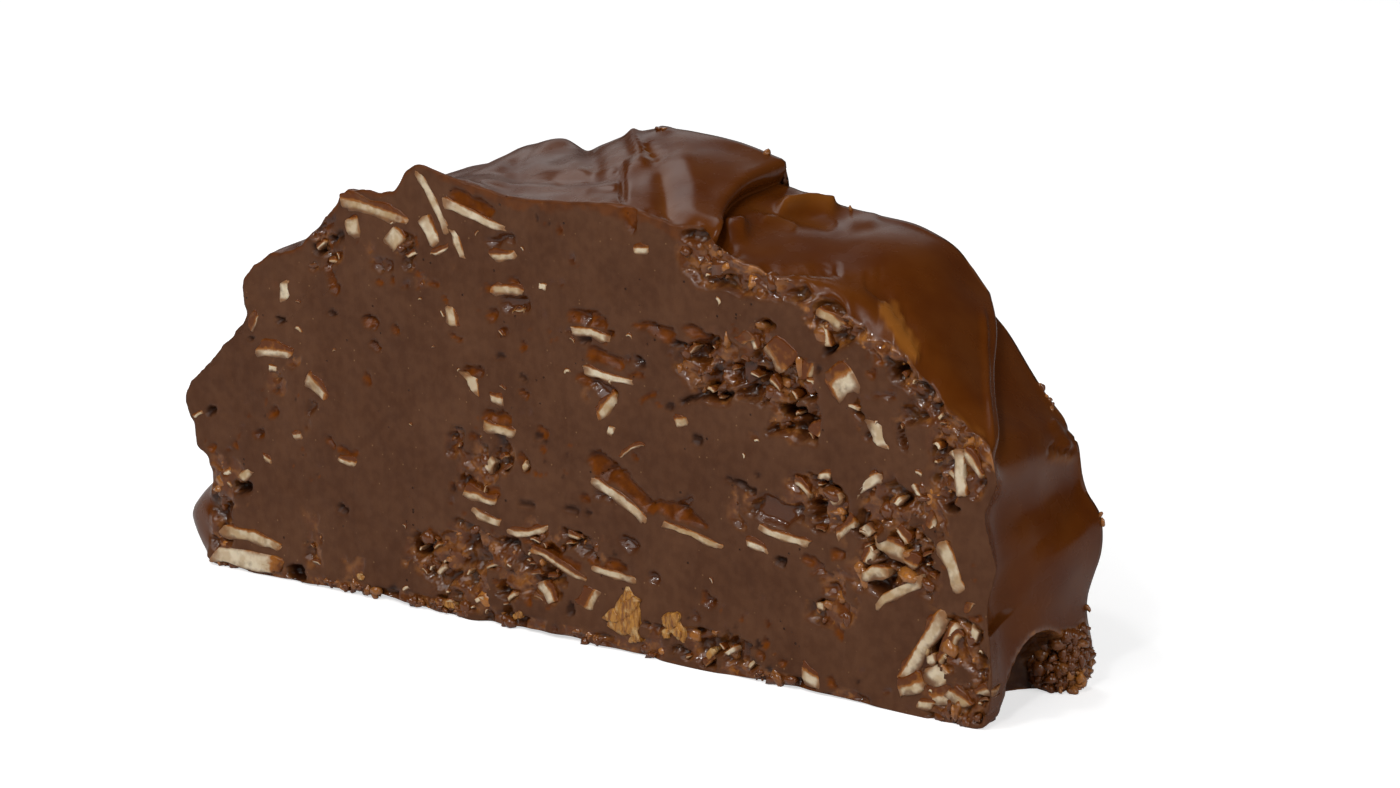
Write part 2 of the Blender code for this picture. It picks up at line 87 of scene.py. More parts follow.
CURVE_STEPS = 24
EVEN_SAMPLES = 1200
SMOOTHING_WINDOW = 9.0
EDGE_BLEND_DEPTH = 5.0

RISE_DEPTHS = (0.0, 5.0, 14.0, 25.0)
SKIN_RISES = (
    ((-135.6, 3.0), 7.4, 7.0, 2.0), ((-135.2, 6.0), 8.8, 8.0, 2.5), ((-135.6, 9.0), 5.6, 6.4, 2.5),
    ((-135.0, 12.5), 1.2, 3.0, 1.5), ((-135.1, 16.0), 0.8, 2.0, 1.0), ((-139.2, 24.0), 0.3, 0.8, -0.5),
    ((-127.9, 41.0), 0.8, 1.5, 0.5), ((-113.5, 53.6), 0.5, 0.6, -0.8), ((-105.5, 59.3), -1.6, -1.5, -0.5),
    ((-99.6, 59.9), -1.4, -1.0, 0.6), ((-94.6, 64.3), -2.6, -2.4, -1.1), ((-90.5, 63.5), -2.0, -1.5, 0.4),
    ((-85.0, 62.4), -0.6, 0.4, 1.2), ((-78.0, 61.6), 0.5, 2.8, 5.0), ((-70.0, 62.0), 0.8, 3.8, 6.6),
    ((-61.0, 62.8), 0.9, 3.6, 5.0), ((-54.0, 61.8), 1.0, 3.2, 4.2), ((-47.0, 60.6), 0.8, 1.8, 1.9),
    ((-43.0, 59.0), 0.4, 1.2, 2.6), ((-37.0, 57.0), 1.0, 2.6, 3.6), ((-30.0, 55.0), 1.8, 4.4, 5.2),
    ((-23.5, 52.5), 2.6, 5.0, 5.2), ((-18.0, 50.0), 2.6, 3.6, 1.6), ((-11.0, 45.6), 1.8, 1.0, -0.6),
    ((-5.0, 41.3), 0.8, -1.0, -2.8), ((1.0, 36.0), -0.6, -1.8, -4.6), ((-0.2, 30.0), -0.8, -0.6, -0.8),
    ((1.4, 21.5), -1.6, 0.6, 1.3), ((0.2, 16.5), -2.0, 0.2, 0.8), ((0.6, 11.0), -1.6, -1.2, -1.4),
    ((0.2, 2.0), -0.6, -0.4, 0.6),
)
UNDERCUT_CENTRE = (4.0, 13.4, -0.5)
UNDERCUT_RADII = (12.0, 9.6, 11.6)
FOOT_CENTRE = (-2.6, 21.4, 3.4)
FOOT_RADII = (3.8, 3.2, 5.4)
FOOT_TOP = 9.6
FOOT_START = 15.0
RIM_PLACES = (-128.0, -110.0, -92.0, -86.0, -46.0, -40.0, -16.0, -2.0)
RIM_WIDTHS = (0.5, 0.7, 0.5, 1.2, 1.4, 2.4, 3.6, 3.0)
FACE_FRONT = -0.6
BACK_LIMIT = 25.2
BACK_PROUD = -0.15
EDGE_FADE = 1.1
BOX_LIMITS = ((0, -1.0, 143.5), (0, 1.0, 2.2), (2, 1.0, 68.6))
LIMIT_EASE = 1.2
RISE_WINDOW = 8.0


@dataclass(frozen=True)
class Fold:
    """A lip of the skin from the cut edge to the back: raised on one side and sunk on the other."""

    front: Pair
    back: Pair
    height: float
    reach: float
    drop: float
    step: float
    overhang: float
    shade: float = 4.5
    start: float = 4.0
    bow: float = 1.0


FOLDS = (
    Fold((-43.5, 59.2), (-51.6, 61.4), 1.4, 7.0, 2.1, 2.0, 1.3, 4.5, 3.0, 3.0),
    Fold((1.0, 36.0), (-17.0, 49.7), 1.1, 6.0, 1.6, 2.6, 0.5),
)


class MarkKind(Enum):
    """What a line on the skin does to it: a ridge or a groove along it, a raised patch, or a step down."""

    LINE = "line"
    PATCH = "patch"
    STEP = "step"


@dataclass(frozen=True)
class SkinMark:
    """A line on the skin, placed by where its sight line in the photograph meets the cut face's plane."""

    line: tuple[Pair, ...]
    width: float
    height: float
    amber: float = 0.0
    kind: MarkKind = MarkKind.LINE


SKIN_MARKS = tuple(SkinMark(*row) for row in (
    (((-85.5, 65.0), (-82.0, 65.8)), 2.2, 0.9), (((-73.5, 69.5), (-69.5, 70.0)), 2.4, 0.9),
    (((-77.6, 66.5), (-75.0, 69.5)), 1.4, -0.5), (((-65.0, 69.5), (-64.0, 67.0)), 1.6, -0.6),
    (((-57.6, 72.5), (-56.0, 69.5), (-58.6, 67.4)), 1.0, 0.8), (((-52.7, 74.3), (-51.8, 74.2)), 0.7, 0.9),
    (((-88.4, 63.6), (-80.0, 64.6), (-70.0, 64.8), (-60.6, 66.3)), 0.45, -0.5),
    (((-84.0, 62.9), (-74.0, 63.6), (-66.0, 64.0), (-60.4, 65.4)), 0.4, 0.35),
    (((-79.4, 67.2), (-72.0, 66.4), (-62.0, 66.9)), 0.7, 0.3), (((-59.6, 67.9), (-59.3, 63.9)), 0.5, -0.7),
    (((-55.2, 70.9), (-53.4, 70.2)), 0.45, -0.5, 0.3),
    (((-49.0, 73.0), (-47.5, 66.0), (-47.8, 61.5)), 2.0, 0.35),
    (((-52.5, 67.5), (-51.5, 62.5)), 1.4, -0.45, 0.25),
    (((-32.8, 66.0), (-29.0, 66.9), (-25.2, 67.0)), 0.75, 1.7, 0.6),
    (((-35.5, 64.0), (-31.2, 63.6)), 0.5, 0.6, 0.3),
    (((-38.0, 65.5), (-31.0, 64.9), (-25.5, 64.6)), 0.7, -0.5, 0.2),
    (((-21.5, 65.5), (-18.5, 65.9)), 0.9, 0.45), (((-42.0, 61.4), (-40.0, 61.9)), 1.2, 1.8),
    (((-44.0, 60.0), (-38.5, 56.9), (-33.0, 56.9), (-24.0, 58.3)), 0.4, -0.8),
    (((-36.0, 55.6), (-29.0, 56.4), (-21.0, 55.0), (-15.5, 51.0)), 1.8, 0.7, 0.12),
    (((-19.2, 57.8), (-15.6, 55.5), (-13.0, 53.0), (-10.2, 49.0)), 0.35, -0.9),
    (((-17.4, 58.2), (-13.6, 55.2), (-11.2, 52.2)), 0.4, -0.55),
    (((-15.6, 53.8), (-14.0, 51.9), (-12.6, 49.9)), 1.9, 0.3, 1.0, MarkKind.PATCH),
    (((-9.0, 50.6), (-8.0, 49.4)), 0.35, -0.4),
    (((-7.0, 42.6), (-4.0, 41.2), (-0.8, 40.0)), 0.25, 0.2, 0.5),
    (((-1.0, 55.5), (-0.1, 47.3), (0.8, 39.0)), 0.5, 0.45), (((10.4, 43.2), (12.6, 40.6)), 0.7, 0.7),
    (((10.2, 39.9), (13.2, 39.4)), 0.4, -0.6), (((10.4, 38.6), (13.0, 38.4)), 0.6, 0.2, 0.6),
    (
        ((17.2, 33.2), (16.6, 31.0), (15.0, 28.4), (11.4, 25.0), (7.8, 22.0), (4.8, 18.4)),
        3.6, 1.3, 0.0, MarkKind.STEP,
    ),
    (((6.4, 29.0), (7.2, 24.0), (5.2, 19.0)), 1.0, 0.3), (((1.8, 30.0), (2.4, 24.0)), 1.6, -0.3),
))
SIGHT_POINT = (358.9, -545.8, 205.6)


@dataclass(frozen=True)
class GridSize:
    """How many cells the body's block has along, up and in."""

    along: int = 352
    up: int = 160
    inward: int = 24


class Mark(Enum):
    """What a hollow of the cut face looks like."""

    IMPRINT = "imprint"
    # Holes are sunk and get painted shade in them.
    HOLE = "hole"
    SHINY = "shiny"


@dataclass(frozen=True)
class Strip:
    """A rounded hollow from one point to another, with a radius at each end."""

    x1: float
    z1: float
    x2: float
    z2: float
    r1: float
    r2: float
    depth: float
    mark: Mark = Mark.IMPRINT


@dataclass(frozen=True)
class Zone:
    """A place where the cut face broke up into crumbs and lumps."""

    x: float
    z: float
    half_width: float
    half_height: float
    rough: float
    cover: float = 0.75


@dataclass(frozen=True)
class Flake:
    """A cut almond flake: its middle on the face, its size and turn, and the look of its cut."""

    x: float
    z: float
    length: float
    thickness: float
    tilt: float
    brown_top: float = 0.35
    bend: float = 0.0
    taper: float = 0.0
    brown_tip: float = 0.0
    proud: float = 0.12
    reach: float = 3.0


STRIPS = tuple(Strip(*row, mark) for mark, rows in (
    (Mark.IMPRINT, (
        (-88.0, 60.4, -82.5, 59.2, 1.25, 0.9, 0.8), (-68.2, 46.6, -63.1, 46.3, 0.85, 0.85, 0.9),
        (-57.4, 46.9, -51.4, 45.9, 0.35, 1.0, 0.9), (-48.0, 46.9, -45.2, 46.6, 0.75, 0.75, 1.0),
        (-64.6, 41.7, -60.0, 40.7, 1.15, 0.85, 0.8), (-63.6, 26.4, -61.8, 25.8, 1.6, 1.5, 0.9),
        (-61.5, 25.2, -55.5, 22.2, 1.5, 1.0, 0.8), (-55.0, 21.9, -49.4, 21.5, 0.9, 1.2, 0.8),
        (-49.4, 21.5, -45.6, 20.3, 1.3, 0.35, 0.8), (-83.0, 30.2, -79.9, 30.0, 1.0, 0.9, 0.9),
        (-87.5, 19.6, -81.9, 19.2, 1.0, 0.75, 0.6), (-61.9, 12.4, -59.4, 12.3, 0.85, 0.8, 0.7),
        (-64.9, 12.7, -64.2, 12.2, 0.75, 0.7, 0.5), (-104.6, 40.7, -103.6, 40.5, 1.0, 0.8, 1.2),
        (-103.9, 37.0, -103.0, 36.9, 0.5, 0.7, 1.0), (-99.7, 40.1, -99.2, 40.1, 0.6, 0.5, 0.7),
        (-104.8, 32.0, -104.4, 31.7, 0.8, 0.7, 0.6), (-77.2, 24.6, -76.4, 23.8, 0.9, 0.7, 0.8),
        (-109.8, 20.9, -107.5, 20.8, 0.6, 0.5, 0.5), (-86.6, 36.0, -84.8, 36.1, 0.8, 0.6, 0.9),
        (-75.4, 13.0, -67.5, 11.2, 0.6, 0.8, 0.35), (-78.6, 49.9, -78.0, 49.5, 0.6, 0.6, 0.6),
        (-82.8, 48.4, -82.0, 48.6, 0.5, 0.4, 0.5), (-58.6, 62.6, -57.8, 59.4, 1.9, 0.4, 1.0),
        (-111.6, 47.4, -110.5, 44.7, 0.35, 0.9, 1.2), (-95.6, 54.2, -95.5, 53.2, 0.5, 0.5, 0.5),
        (-67.0, 37.8, -65.6, 37.6, 0.5, 0.8, 0.8), (-23.8, 20.2, -23.0, 19.8, 0.9, 0.8, 0.8),
        (-24.6, 15.0, -22.4, 12.6, 1.0, 0.7, 0.8), (-28.8, 18.8, -26.6, 17.6, 0.6, 0.7, 0.6),
        (-122.7, 24.6, -122.3, 25.0, 0.8, 0.6, 0.9), (-125.6, 21.2, -125.0, 21.3, 0.7, 0.6, 0.9),
        (-115.0, 51.6, -113.0, 52.3, 0.35, 0.6, 0.5), (-89.4, 41.2, -88.2, 40.3, 0.3, 0.5, 0.7),
        (-90.8, 45.7, -90.2, 45.5, 0.4, 0.4, 0.6), (-77.2, 34.6, -76.3, 34.3, 0.5, 0.5, 0.8),
        (-58.0, 39.6, -56.4, 39.6, 0.35, 0.35, 0.6), (-56.5, 35.8, -54.4, 37.6, 0.4, 0.6, 0.5),
        (-92.9, 47.6, -91.8, 47.9, 0.5, 0.6, 0.5), (-112.2, 21.8, -111.3, 21.2, 0.6, 0.5, 0.7),
        (-86.2, 27.0, -85.2, 26.8, 0.7, 0.5, 0.8), (-66.0, 21.3, -65.3, 20.9, 0.6, 0.5, 0.6),
        (-57.4, 28.2, -56.8, 28.1, 0.5, 0.4, 0.6), (-32.4, 41.6, -30.4, 41.0, 0.8, 0.8, 0.5),
        (-23.6, 9.6, -22.6, 9.0, 0.7, 0.5, 0.5),
    )),
    (Mark.HOLE, (
        (-120.0, 1.5, -118.6, 1.7, 0.8, 1.1, 2.4), (-129.6, 12.4, -128.2, 13.0, 0.9, 1.0, 2.2),
        (-96.0, 8.9, -94.6, 9.1, 1.0, 1.0, 2.2), (-80.6, 12.3, -78.6, 12.4, 0.4, 0.6, 1.4),
        (-77.4, 18.4, -75.3, 18.4, 0.25, 0.35, 1.0), (-69.2, 19.0, -67.8, 18.8, 0.4, 0.4, 0.8),
        (-66.0, 18.9, -64.9, 18.9, 0.35, 0.3, 0.7), (-50.6, 45.0, -49.4, 44.9, 0.4, 0.35, 1.6),
        (-32.8, 38.3, -29.9, 38.5, 0.6, 0.9, 3.0), (-49.6, 37.3, -41.5, 39.4, 0.4, 0.6, 1.2),
        (-26.0, 47.2, -24.9, 47.9, 0.7, 0.8, 2.0), (-14.4, 45.9, -13.6, 46.4, 0.8, 0.7, 1.6),
        (-6.3, 29.3, -5.0, 29.3, 0.5, 0.5, 2.2), (-33.8, 17.4, -32.6, 17.3, 0.6, 0.6, 1.2),
        (-41.9, 27.6, -37.8, 26.6, 0.3, 0.6, 0.9), (-134.9, 22.8, -134.2, 23.3, 0.6, 0.6, 1.1),
        (-121.6, 38.5, -120.4, 38.7, 0.5, 0.5, 0.9), (-127.0, 35.0, -126.4, 35.2, 0.4, 0.4, 0.7),
        (-114.2, 49.6, -113.5, 49.5, 0.7, 0.6, 1.3), (-111.6, 51.5, -110.9, 51.6, 0.6, 0.6, 1.2),
        (-111.1, 41.1, -110.8, 40.8, 0.5, 0.4, 0.7), (-81.1, 38.6, -80.7, 38.7, 0.4, 0.4, 0.6),
        (-77.3, 36.8, -76.6, 36.8, 0.5, 0.4, 0.5), (-110.2, 12.2, -109.2, 12.2, 0.6, 0.6, 0.9),
        (-66.9, 43.4, -65.4, 43.3, 0.4, 0.5, 0.9),
    )),
    (Mark.SHINY, (
        (-35.6, 24.3, -32.2, 24.2, 1.9, 1.7, 1.0), (-82.0, 54.9, -79.2, 55.9, 0.9, 0.7, 1.0),
        (-79.4, 46.4, -76.8, 46.7, 1.2, 1.2, 1.0), (-64.2, 37.4, -61.4, 36.4, 1.0, 1.2, 1.0),
        (-59.1, 16.3, -57.9, 15.6, 0.9, 1.0, 1.2), (-54.6, 11.8, -53.8, 11.4, 0.7, 0.6, 1.0),
        (-50.2, 22.9, -48.6, 23.4, 0.7, 0.8, 0.9), (-64.2, 21.9, -61.8, 21.8, 0.5, 0.5, 0.9),
        (-69.9, 15.6, -65.6, 14.9, 0.35, 0.45, 0.8), (-47.4, 43.8, -46.2, 43.2, 1.6, 1.3, 1.8),
        (-39.4, 42.4, -37.8, 41.6, 2.2, 1.8, 1.6), (-35.2, 34.9, -32.2, 36.2, 0.6, 0.7, 1.3),
        (-13.9, 38.9, -13.6, 36.8, 0.8, 0.7, 1.6), (-27.2, 26.4, -26.6, 23.4, 1.0, 1.1, 1.8),
        (-58.9, 41.8, -58.6, 41.6, 0.5, 0.4, 0.8),
    )),
) for row in rows)

ZONES = tuple(Zone(*row) for row in (
    (-70.0, 0.8, 66.0, 1.7, 0.9, 0.7), (-133.5, 9.0, 3.5, 8.0, 1.1, 0.8),
    (-114.0, 50.0, 6.0, 4.0, 1.0, 0.5), (-86.0, 7.5, 15.0, 6.8, 1.4, 0.8),
    (-46.0, 3.2, 13.5, 2.9, 1.0, 0.7), (-46.0, 57.6, 4.8, 3.8, 1.5, 0.95),
    (-37.0, 54.6, 9.5, 2.0, 1.1, 0.85), (-44.0, 42.8, 7.5, 5.0, 1.6, 0.6),
    (-33.5, 40.5, 8.0, 7.5, 1.7, 0.65), (-33.0, 47.5, 5.5, 3.6, 1.4, 0.65),
    (-14.5, 23.5, 10.0, 9.0, 1.4, 0.75), (-4.5, 7.5, 5.8, 9.0, 1.4, 0.75),
    (-13.0, 43.5, 7.0, 5.0, 1.2, 0.55), (-5.0, 35.0, 5.5, 7.5, 1.2, 0.75),
    (-110.0, 7.5, 11.0, 6.5, 0.7, 0.35), (-118.5, 28.5, 6.0, 6.0, 0.7, 0.35),
    (-97.0, 50.5, 10.0, 4.5, 0.8, 0.35), (-117.0, 46.0, 8.0, 4.0, 0.7, 0.3),
    (-25.0, 14.0, 5.0, 5.0, 0.9, 0.5), (-70.0, 12.5, 10.0, 4.5, 0.9, 0.45),
    (-85.0, 24.5, 6.0, 5.5, 1.1, 0.6), (-80.0, 47.5, 4.0, 4.5, 0.8, 0.4),
    (-24.0, 51.5, 5.5, 3.6, 1.2, 0.75), (-27.0, 26.5, 7.0, 4.5, 1.2, 0.6),
    (-38.7, 24.4, 4.0, 4.5, 0.9, 0.5), (-19.0, 40.0, 3.0, 4.0, 0.9, 0.5), (-62.0, 36.0, 5.0, 4.0, 0.9, 0.4),
    (-52.0, 46.5, 5.0, 2.2, 0.9, 0.4), (-131.0, 13.0, 5.0, 5.0, 0.7, 0.3),
))

FLAKES = tuple(Flake(*row) for row in (
    (-128.4, 1.75, 13.4, 2.5, -1.0, 0.1, 0.0, 0.1, 0.8, 0.35, 6.0),
    (-127.2, 5.4, 11.2, 1.5, -6.0, 0.25, 0.2, -0.1, 0.3), (-122.0, 33.9, 6.8, 1.8, 7.0, 0.6, 0.2, 0.0, 0.6),
    (-103.2, 57.0, 12.0, 1.8, -5.0, 0.55, 0.25, -0.1, 0.5), (-92.6, 59.2, 9.6, 1.0, -57.0, 0.1, 0.3),
    (-85.2, 58.2, 11.2, 1.15, -12.0, 0.2, -0.1, -0.25), (-83.4, 15.7, 5.2, 1.1, -14.0, 0.3, -0.3),
    (-84.6, 18.3, 6.0, 1.5, -3.0, 0.6, 0.1), (-81.0, 28.5, 5.6, 1.3, -4.0, 0.3, 0.1),
    (-79.6, 48.4, 5.6, 1.2, 3.0, 0.4, 0.3, 0.0, -0.5), (-76.2, 14.8, 7.2, 1.0, 11.0, 0.4, -0.2),
    (-70.8, 10.8, 10.6, 1.0, -17.0, 0.6, 0.25, 0.0, -0.6), (-65.0, 44.2, 6.8, 1.0, -4.0, 0.25, 0.25),
    (-62.0, 38.9, 8.8, 1.0, -5.0, 0.3, 0.0, -0.3), (-61.2, 11.0, 7.6, 0.9, -4.0, 0.3, 0.1),
    (-60.2, 21.6, 10.6, 1.3, -26.0, 0.3, 0.4, 0.1), (-47.6, 18.8, 10.0, 0.95, -9.0, 0.35, 0.1),
    (-32.3, 21.2, 8.4, 1.0, -8.0, 0.3, -0.1, 0.0, 0.3), (-19.2, 30.0, 6.2, 1.3, 34.0, 0.2, 0.2),
    (-13.8, 16.2, 9.0, 1.2, 33.0, 0.1, 0.2, 0.2), (-10.0, 9.7, 12.0, 1.9, 57.0, 0.35, 0.0, 0.1),
    (-6.0, 10.4, 6.4, 1.5, 55.0, 0.7, 0.2, 0.0, 0.4), (-5.6, 21.2, 7.0, 1.7, -63.0, 0.15, 0.2),
    (-4.3, 34.0, 6.4, 1.4, -86.0, 0.15, 0.1, 0.0, 0.0, 0.7),
    (-7.2, 3.1, 9.0, 2.4, 12.0, 0.6, 0.3, 0.0, -0.6),
))

CHIPS = tuple(Flake(*row) for row in (
    (-120.0, 42.9, 2.7, 1.6, -85.0, 0.1), (-114.2, 29.6, 4.6, 1.7, -34.0, 0.4, 0.2, -0.2, 0.9),
    (-108.8, 19.7, 3.4, 1.2, -3.0, 0.6, 0.1), (-107.0, 53.8, 2.6, 1.9, 10.0, 0.1),
    (-99.4, 53.2, 2.7, 2.3, -40.0, 0.1), (-93.2, 55.0, 4.4, 1.9, -58.0, 0.2, 0.2),
    (-89.3, 43.4, 2.9, 1.5, -75.0, 0.3), (-88.3, 53.8, 4.2, 0.9, -66.0, 0.1, 0.1),
    (-85.6, 34.3, 2.7, 1.9, -78.0, 0.2, 0.0, -0.2), (-80.2, 53.5, 4.6, 1.2, 14.0, 0.5, -0.4),
    (-72.8, 6.4, 3.4, 2.1, -55.0, 0.5, 0.2), (-65.6, 6.9, 3.5, 2.6, 60.0, 0.7),
    (-56.3, 57.2, 2.6, 1.1, 4.0, 0.5), (-36.9, 19.0, 3.6, 1.2, -8.0, 0.5, 0.1),
    (-33.2, 46.2, 4.4, 3.0, -48.0, 0.85), (-27.9, 2.3, 3.0, 1.9, -20.0, 0.4),
    (-25.2, 51.9, 4.4, 1.3, -22.0, 0.35, 0.1), (-26.0, 49.4, 3.0, 1.4, -72.0, 0.3),
    (-23.2, 43.6, 4.6, 3.4, 35.0, 0.45, 0.0, 0.0, -1.0), (-17.6, 18.3, 4.6, 1.4, 18.0, 0.25, 0.4),
    (-17.4, 37.4, 3.6, 1.8, -66.0, 0.1), (-15.4, 22.4, 4.8, 1.9, -10.0, 0.35, 0.2),
    (-2.2, 35.9, 4.2, 1.3, -48.0, 0.5, 0.2, 0.0, 0.0, 0.6), (-125.9, 37.8, 3.0, 1.1, 62.0, 0.9),
    (-128.1, 14.6, 2.4, 1.1, 40.0, 0.1), (-83.0, 23.2, 2.2, 1.2, 62.0, 0.3),
    (-81.4, 32.9, 2.3, 1.3, -6.0, 0.5, 0.0, 0.0, 0.0, 0.1),
    (-77.7, 45.3, 2.1, 1.1, 18.0, 0.2, 0.0, 0.0, 0.0, -0.4), (-73.3, 49.8, 1.4, 0.8, -5.0, 0.2),
    (-62.3, 34.6, 4.6, 1.8, 42.0, 0.45, 0.0, 0.2, -0.6), (-61.6, 31.2, 1.3, 0.9, 0.0, 0.1),
    (-58.0, 29.0, 5.0, 0.6, 28.0, 0.8, 0.5), (-76.5, 23.9, 1.2, 0.8, 50.0, 0.2),
    (-118.2, 22.1, 1.8, 0.9, 12.0, 0.5, 0.0, 0.0, 0.0, 0.1), (-122.4, 31.3, 1.6, 0.8, 0.0, 0.3),
    (-123.9, 17.7, 1.6, 0.8, -20.0, 0.5, 0.0, 0.0, 0.0, 0.1), (-19.1, 24.0, 1.7, 1.2, -30.0, 0.1),
    (-11.9, 21.1, 2.2, 1.5, -15.0, 0.8), (-9.0, 26.4, 3.2, 1.7, 60.0, 0.6),
    (-22.4, 24.0, 3.6, 1.6, 38.0, 0.6), (-2.0, 12.8, 1.6, 1.1, 70.0, 0.1),
    (-8.6, 8.2, 1.4, 1.1, 20.0, 0.05), (-9.4, 9.4, 1.3, 0.9, -50.0, 0.0),
    (-11.8, 4.3, 4.4, 2.7, 28.0, 0.6, 0.0, 0.2, 0.0, 0.3),
    (-7.6, 6.1, 3.2, 2.3, -38.0, 0.05, 0.0, 0.1, 0.0, 0.35),
    (-4.4, 3.5, 3.8, 1.7, -18.0, 0.45, 0.2, 0.0, 0.0, 0.3), (-9.4, 1.9, 2.6, 1.0, 4.0, 0.3),
    (-5.4, 12.6, 2.6, 1.2, 66.0, 0.5, 0.2, 0.2), (-18.8, 20.6, 2.4, 1.6, 62.0, 0.5),
    (-13.0, 24.6, 2.4, 1.3, -44.0, 0.7), (-28.8, 44.6, 3.2, 2.0, 70.0, 0.75, 0.0, 0.2),
    (-39.0, 47.4, 2.6, 1.6, 30.0, 0.9, 0.0, 0.2), (-29.6, 28.4, 2.8, 1.2, -28.0, 0.6, 0.2),
    (-24.2, 27.6, 2.2, 1.2, 40.0, 0.45), (-27.0, 36.8, 2.4, 1.6, 55.0, 0.9),
    (-2.8, 16.3, 1.7, 1.0, 70.0, 0.9), (-26.5, 12.4, 1.2, 0.8, 0.0, 0.1),
    (-25.8, 30.6, 2.0, 1.0, 10.0, 0.4, 0.0, 0.0, 0.0, 0.1), (-49.6, 34.4, 2.2, 1.3, 15.0, 0.4),
    (-137.0, 22.4, 2.0, 0.6, 35.0, 0.5), (-91.4, 52.6, 3.4, 0.8, 22.0, 0.7),
    (-96.4, 51.4, 2.2, 0.6, 25.0, 0.5),
))
WAFER_CHIPS = tuple(Flake(*row) for row in (
    (-59.4, 5.2, 6.2, 3.4, 24.0, 0.3, 0.0, 0.55, 0.0, 0.3),
    (-58.2, 6.6, 4.6, 1.7, 52.0, 0.3, 0.3, 0.4, 0.0, 0.5),
    (-58.0, 4.0, 4.2, 1.9, -58.0, 0.3, -0.2, -0.4, 0.0, 0.45),
    (-61.4, 4.8, 3.0, 1.2, 8.0, 0.3, 0.2, 0.3, 0.0, 0.5),
    (-57.6, 2.4, 2.0, 1.1, 20.0, 0.3, 0.0, 0.0, 0.0, 0.3),
    (-50.9, 5.5, 3.4, 2.4, 10.0, 0.3, 0.0, 0.3, 0.0, 0.3),
    (-50.2, 6.4, 2.2, 1.3, 48.0, 0.3, 0.2, 0.0, 0.0, 0.55),
    (-49.9, 4.7, 1.8, 1.1, -30.0, 0.3, 0.0, 0.0, 0.0, 0.5),
    (-51.9, 4.2, 1.6, 0.9, 70.0, 0.3, 0.0, 0.0, 0.0, 0.5),
    (-78.0, 2.2, 1.8, 1.0, 30.0, 0.3, 0.0, 0.0, 0.0, 0.3),
    (-44.6, 2.6, 1.6, 1.0, 10.0, 0.3, 0.0, 0.0, 0.0, 0.3),
    (-106.5, 3.0, 1.3, 0.8, 0.0, 0.3, 0.0, 0.0, 0.0, 0.3),
    (-90.5, 1.6, 2.2, 1.2, 15.0, 0.3, 0.0, 0.0, 0.0, 0.3),
))


@dataclass(frozen=True)
class PitPlan:
    """How many small pits are strewn over a cut face, where and how large, and the share of each kind."""

    count: int = 300
    along: Pair = (-137.0, 0.0)
    up: Pair = (1.0, 60.0)
    smallest: float = 0.2
    largest: float = 0.8
    clump: float = 9.0
    shares: Triple = (0.45, 0.2, 0.35)


def small_pits(plan: PitPlan, seed: int) -> tuple[Strip, ...]:
    """Strews short hollows over the face, in clumps, where a slow noise is high.

    Args:
        plan: How many, where and how large.
        seed: Picks the places.

    Returns:
        The hollows.
    """
    random = np.random.default_rng(seed)
    tries = plan.count * 5
    spots = np.stack([random.uniform(*plan.along, tries), random.uniform(*plan.up, tries)], 1)
    spots = spots[Grain.layered(spots, plan.clump, 3, seed) > 0.3][: plan.count]
    radii = plan.smallest + (plan.largest - plan.smallest) * random.random(len(spots)) ** 3.0
    turns = random.uniform(0.0, math.pi, len(spots))
    kinds = random.choice(list(Mark), len(spots), p=plan.shares)
    pits = []
    for (x, z), radius, turn, kind in zip(spots.tolist(), radii.tolist(), turns.tolist(), kinds):
        reach = radius * 0.8
        end = (x + reach * math.cos(turn), z + reach * math.sin(turn))
        pits.append(Strip(x, z, *end, radius, radius * 0.7, radius, kind))
    return tuple(pits)


def to_frame(points: Array) -> Array:
    """Turns millimetres from the cut face's corner into the frame's metres."""
    return (np.asarray(points, float) - np.array(FRAME_ORIGIN)) * MM


def smooth_step(value: Array) -> Array:
    """Eases from 0 to 1: t * t * (3 - 2 t), with t held between 0 and 1."""
    value = np.clip(value, 0.0, 1.0)
    return value * value * (3.0 - 2.0 * value)


